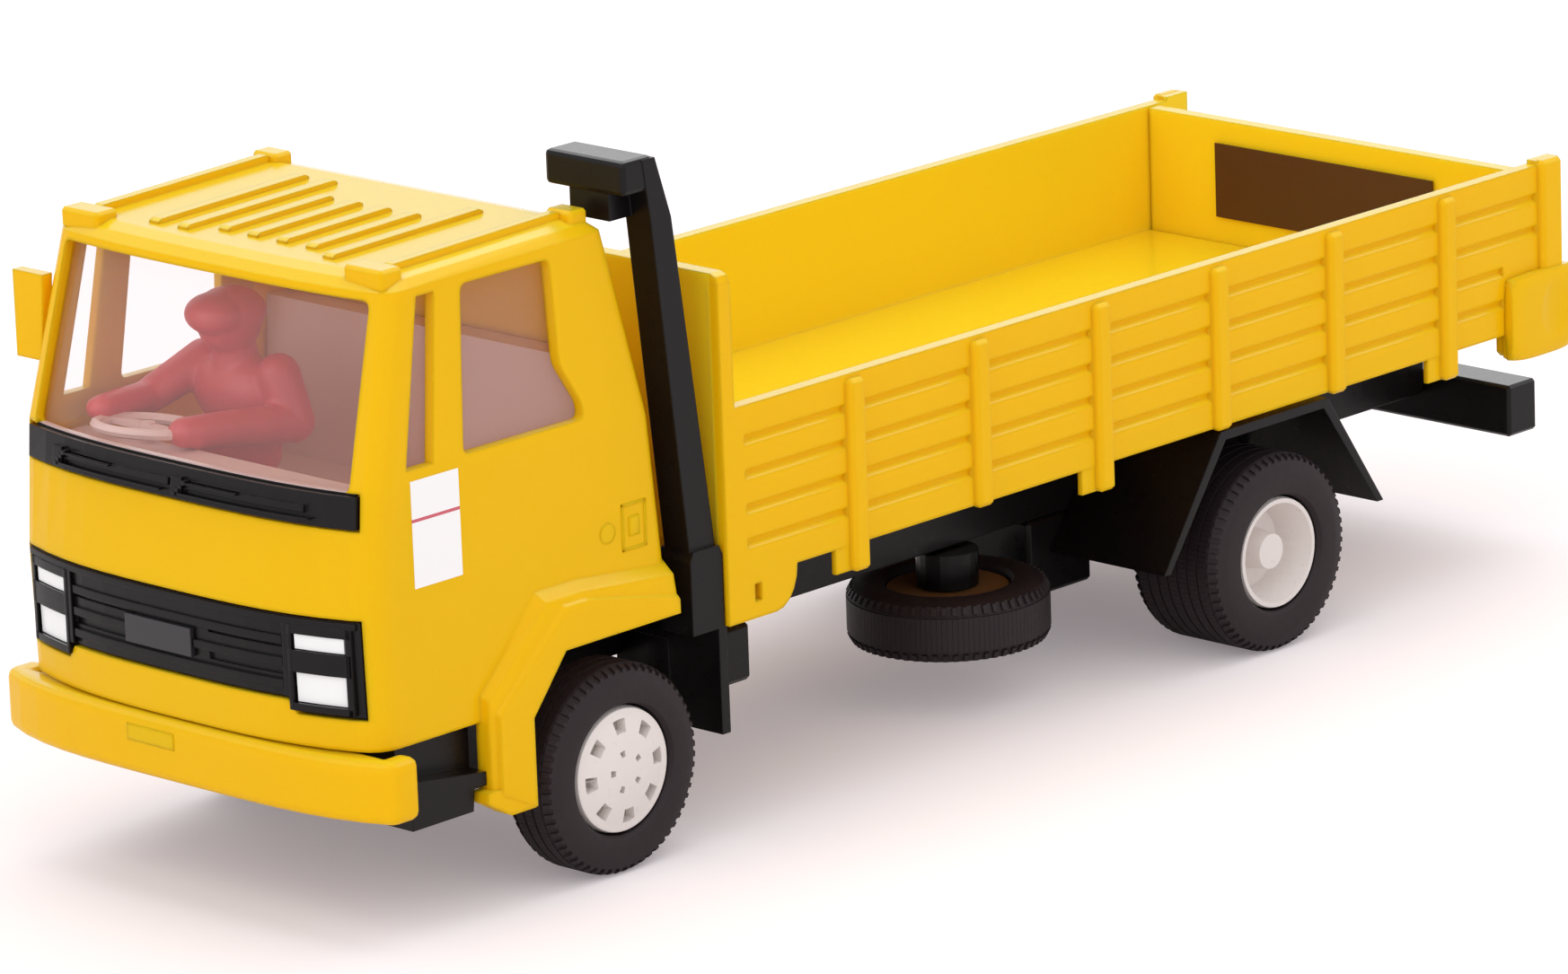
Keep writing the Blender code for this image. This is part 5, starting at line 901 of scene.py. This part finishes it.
def lug_face(u, v):
    """A point of the pad's face, for u and v from -1 to 1 across it."""
    rounded = 1 - LUG_CORNER_ROUNDING * abs(u * v) ** 3
    place = [
        (low + high) / 2 + way * rounded * (high - low) / 2
        for way, low, high in zip((u, v), LUG_LOW, LUG_HIGH)
    ]
    off_dent = sum(
        ((at - centre) / reach) ** 2 for at, centre, reach in zip(place, DENT_MIDDLE, DENT_REACH)
    )
    hollow = DENT_DEPTH * max(0.0, 1.0 - off_dent) ** 0.6
    drop = LUG_EDGE_DROP * min((u**4 + v**4) ** 2, 4.0)
    return Vector((LUG_FACE_X - drop - hollow, *place))


def lug_pad(side):
    """A softly rounded pad over the bed's rear lug, with a shallow oval dent."""
    shape = bmesh.new()
    bmesh.ops.create_grid(shape, x_segments=36, y_segments=32, size=0.5)
    for vert in shape.verts:
        vert.co = lug_face(vert.co.x * 2, vert.co.y * 2)
    edges = [edge for edge in shape.edges if edge.is_boundary]
    skirt = bmesh.ops.extrude_edge_only(shape, edges=edges)["geom"]
    for item in skirt:
        if isinstance(item, bmesh.types.BMVert):
            item.co.x = LUG_BACK_X
    rim = [item for item in skirt if isinstance(item, bmesh.types.BMEdge) and item.is_boundary]
    bmesh.ops.edgeloop_fill(shape, edges=rim)
    bmesh.ops.recalc_face_normals(shape, faces=shape.faces)
    piece(f"bed_rear_lug_pad_{side}", to_side(shape, side), YELLOW, "truck_body")


for lug_side in ("left", "right"):
    lug_pad(lug_side)


# Corners of the left plate, and its bevel
BRACKET_LOW = (0.0138, 0.0572, 0.0150)
BRACKET_HIGH = (0.0234, 0.0582, 0.0300)
BRACKET_BEVEL = 0.0002


def flap_brackets():
    """The plates between the frame rails and the front mudflaps."""
    shape = bmesh.new()
    for side in (1, -1):
        inner, outer = across(side, BRACKET_LOW[0], BRACKET_HIGH[0])
        add_box(shape, (inner, *BRACKET_LOW[1:]), (outer, *BRACKET_HIGH[1:]), BRACKET_BEVEL)
    piece("mudflap_brackets", shape, BLACK, "truck_body")


flap_brackets()


# The driver


def add_ball(shape, centre, radii):
    made = bmesh.ops.create_uvsphere(shape, u_segments=24, v_segments=16, radius=1.0)["verts"]
    bmesh.ops.scale(shape, vec=radii, verts=made)
    bmesh.ops.translate(shape, vec=centre, verts=made)


def add_limb(shape, start, end, start_radius, end_radius):
    start, end = Vector(start), Vector(end)
    along = end - start
    made = bmesh.ops.create_cone(
        shape, cap_ends=True, segments=24,
        radius1=start_radius, radius2=end_radius, depth=along.length,
    )["verts"]
    turn = along.to_track_quat("Z", "Y").to_matrix()
    bmesh.ops.rotate(shape, verts=made, cent=(0, 0, 0), matrix=turn)
    bmesh.ops.translate(shape, vec=(start + end) / 2, verts=made)
    add_ball(shape, start, (start_radius,) * 3)
    add_ball(shape, end, (end_radius,) * 3)


DRIVER_X = -0.0162
# Joints of each arm from the shoulder down, each with its radius, and the hand's place and size
LEFT_ARM = (
    ((-0.0094, 0.0250, 0.0586), 0.0027, (-0.0074, 0.0252, 0.0530), 0.0026),
    ((-0.0074, 0.0252, 0.0530), 0.0025, (-0.0094, 0.0110, 0.0545), 0.0021),
)
LEFT_HAND = ((-0.0098, 0.0098, 0.0547), (0.0021, 0.0024, 0.0019))
RIGHT_ARM = (
    ((-0.0226, 0.0250, 0.0586), 0.0026, (-0.0248, 0.0178, 0.0552), 0.0022),
    ((-0.0248, 0.0178, 0.0552), 0.0020, (-0.0232, 0.0088, 0.0560), 0.0016),
)
RIGHT_HAND = ((-0.0231, 0.0084, 0.0560), (0.0018, 0.0021, 0.0015))
SKIN_STEP = 0.0003


def driver_figure():
    """The toy's seated figure as one soft moulding, with a cap and a plain, blank face."""
    shape = bmesh.new()
    x = DRIVER_X
    add_ball(shape, (x, 0.0246, 0.0558), (0.0070, 0.0041, 0.0049))  # chest
    add_ball(shape, (x, 0.0244, 0.0492), (0.0058, 0.0045, 0.0058))  # waist
    add_limb(shape, (x, 0.0244, 0.0585), (x, 0.0240, 0.0635), 0.0030, 0.0026)  # neck
    add_ball(shape, (x, 0.0236, 0.0646), (0.0038, 0.0042, 0.0040))  # head
    add_ball(shape, (x, 0.0238, 0.0658), (0.0043, 0.0046, 0.0031))  # cap
    add_ball(shape, (x, 0.0214, 0.0660), (0.0040, 0.0037, 0.0026))  # blunt peak
    for arm, hand in ((LEFT_ARM, LEFT_HAND), (RIGHT_ARM, RIGHT_HAND)):
        for start, start_radius, end, end_radius in arm:
            add_limb(shape, start, end, start_radius, end_radius)
        add_ball(shape, *hand)
    figure = piece(
        "driver_figure", shape, RED, "truck_body", replaces=("driver",), sharp=3.0
    )
    remesh = figure.modifiers.new("one_skin", "REMESH")
    remesh.mode = "VOXEL"
    remesh.voxel_size = SKIN_STEP
    remesh.use_smooth_shade = True
    soften = figure.modifiers.new("soften", "SMOOTH")
    soften.factor = 0.5
    soften.iterations = 8


driver_figure()


# Light, floor and camera


def wide_light(name, towards, strength, width):
    """A light from a wide patch of sky, as even as the walls of a light tent."""
    data = bpy.data.lights.new(name, "SUN")
    data.angle = math.radians(width)
    data.energy = strength
    made = bpy.data.objects.new(name, data)
    bpy.context.scene.collection.objects.link(made)
    made.rotation_euler = Vector(towards).to_track_quat("Z", "Y").to_euler()


wide_light("top_light", (-0.15, 0.35, 0.9), 0.90, 70)
wide_light("left_light", (0.75, -0.2, 0.55), 0.50, 60)
wide_light("front_light", (0.0, -0.8, 0.5), 0.65, 60)


FLOOR_HALF_SIZE = 4.0
FLOOR_GLOW = 0.20  # lifts the shadow as the photograph's exposure does


def floor():
    """White paper under the truck, which keeps its shadow."""
    shape = bmesh.new()
    bmesh.ops.create_grid(shape, x_segments=1, y_segments=1, size=FLOOR_HALF_SIZE)
    mesh = bpy.data.meshes.new("floor")
    shape.to_mesh(mesh)
    shape.free()
    made = bpy.data.objects.new("floor", mesh)
    bpy.context.scene.collection.objects.link(made)
    paper = bpy.data.materials.new("floor_paper")
    paper.use_nodes = True
    shader = paper.node_tree.nodes["Principled BSDF"]
    set_inputs(
        shader, Base_Color=(0.92, 0.875, 0.885, 1.0), Roughness=0.9, Specular_IOR_Level=0.0,
        Emission_Color=(1.0, 0.88, 0.93, 1.0),
    )
    seen_directly = paper.node_tree.nodes.new("ShaderNodeLightPath")
    glow = maths(paper.node_tree, "MULTIPLY", seen_directly.outputs["Is Camera Ray"], FLOOR_GLOW)
    paper.node_tree.links.new(glow, shader.inputs["Emission Strength"])
    mesh.materials.append(paper)


floor()

SKY_STRENGTH = 0.66
BACKDROP_STRENGTH = 1.0


def studio_sky():
    """Soft light from all round, and plain white where the sky itself is seen or mirrored."""
    world = bpy.data.worlds.new("studio")
    bpy.context.scene.world = world
    world.use_nodes = True
    sky = world.node_tree
    light = sky.nodes["Background"]
    set_inputs(light, Color=(1.0, 1.0, 1.0, 1.0), Strength=SKY_STRENGTH)
    white = sky.nodes.new("ShaderNodeBackground")
    set_inputs(white, Color=(1.0, 1.0, 1.0, 1.0), Strength=BACKDROP_STRENGTH)
    ray = sky.nodes.new("ShaderNodeLightPath")
    seen = maths(sky, "MAXIMUM", ray.outputs["Is Camera Ray"], ray.outputs["Is Transmission Ray"])
    seen = maths(sky, "MAXIMUM", seen, ray.outputs["Is Glossy Ray"])
    choice = sky.nodes.new("ShaderNodeMixShader")
    sky.links.new(seen, choice.inputs[0])
    sky.links.new(light.outputs[0], choice.inputs[1])
    sky.links.new(white.outputs[0], choice.inputs[2])
    sky.links.new(choice.outputs[0], sky.nodes["World Output"].inputs["Surface"])


studio_sky()

# The camera as fitted to the photograph, with its picture's width and focal length in pixels
PHOTO_WIDTH = 1746
FOCAL_PIXELS = 10519.06
CENTRE_OFFSET = (4.982, -2.479)


def camera():
    data = bpy.data.cameras.new("camera")
    data.sensor_fit = "HORIZONTAL"
    data.sensor_width = 36.0
    data.lens = FOCAL_PIXELS / PHOTO_WIDTH * data.sensor_width
    data.shift_x = -CENTRE_OFFSET[0] / PHOTO_WIDTH
    data.shift_y = CENTRE_OFFSET[1] / PHOTO_WIDTH
    data.clip_start = 0.01
    data.clip_end = 20.0
    made = bpy.data.objects.new("camera", data)
    bpy.context.scene.collection.objects.link(made)
    right = Vector((0.72413, 0.68876, -0.03526))
    up = Vector((-0.15785, 0.21529, 0.96371))
    back = Vector((0.67135, -0.69229, 0.26462))
    turn = Matrix((right, up, back)).transposed().to_4x4()
    place = Vector((0.80153, -0.72375, 0.34495)) + SHIFT
    made.matrix_world = Matrix.Translation(place) @ turn
    bpy.context.scene.camera = made


camera()
bpy.context.scene.view_settings.view_transform = "Standard"
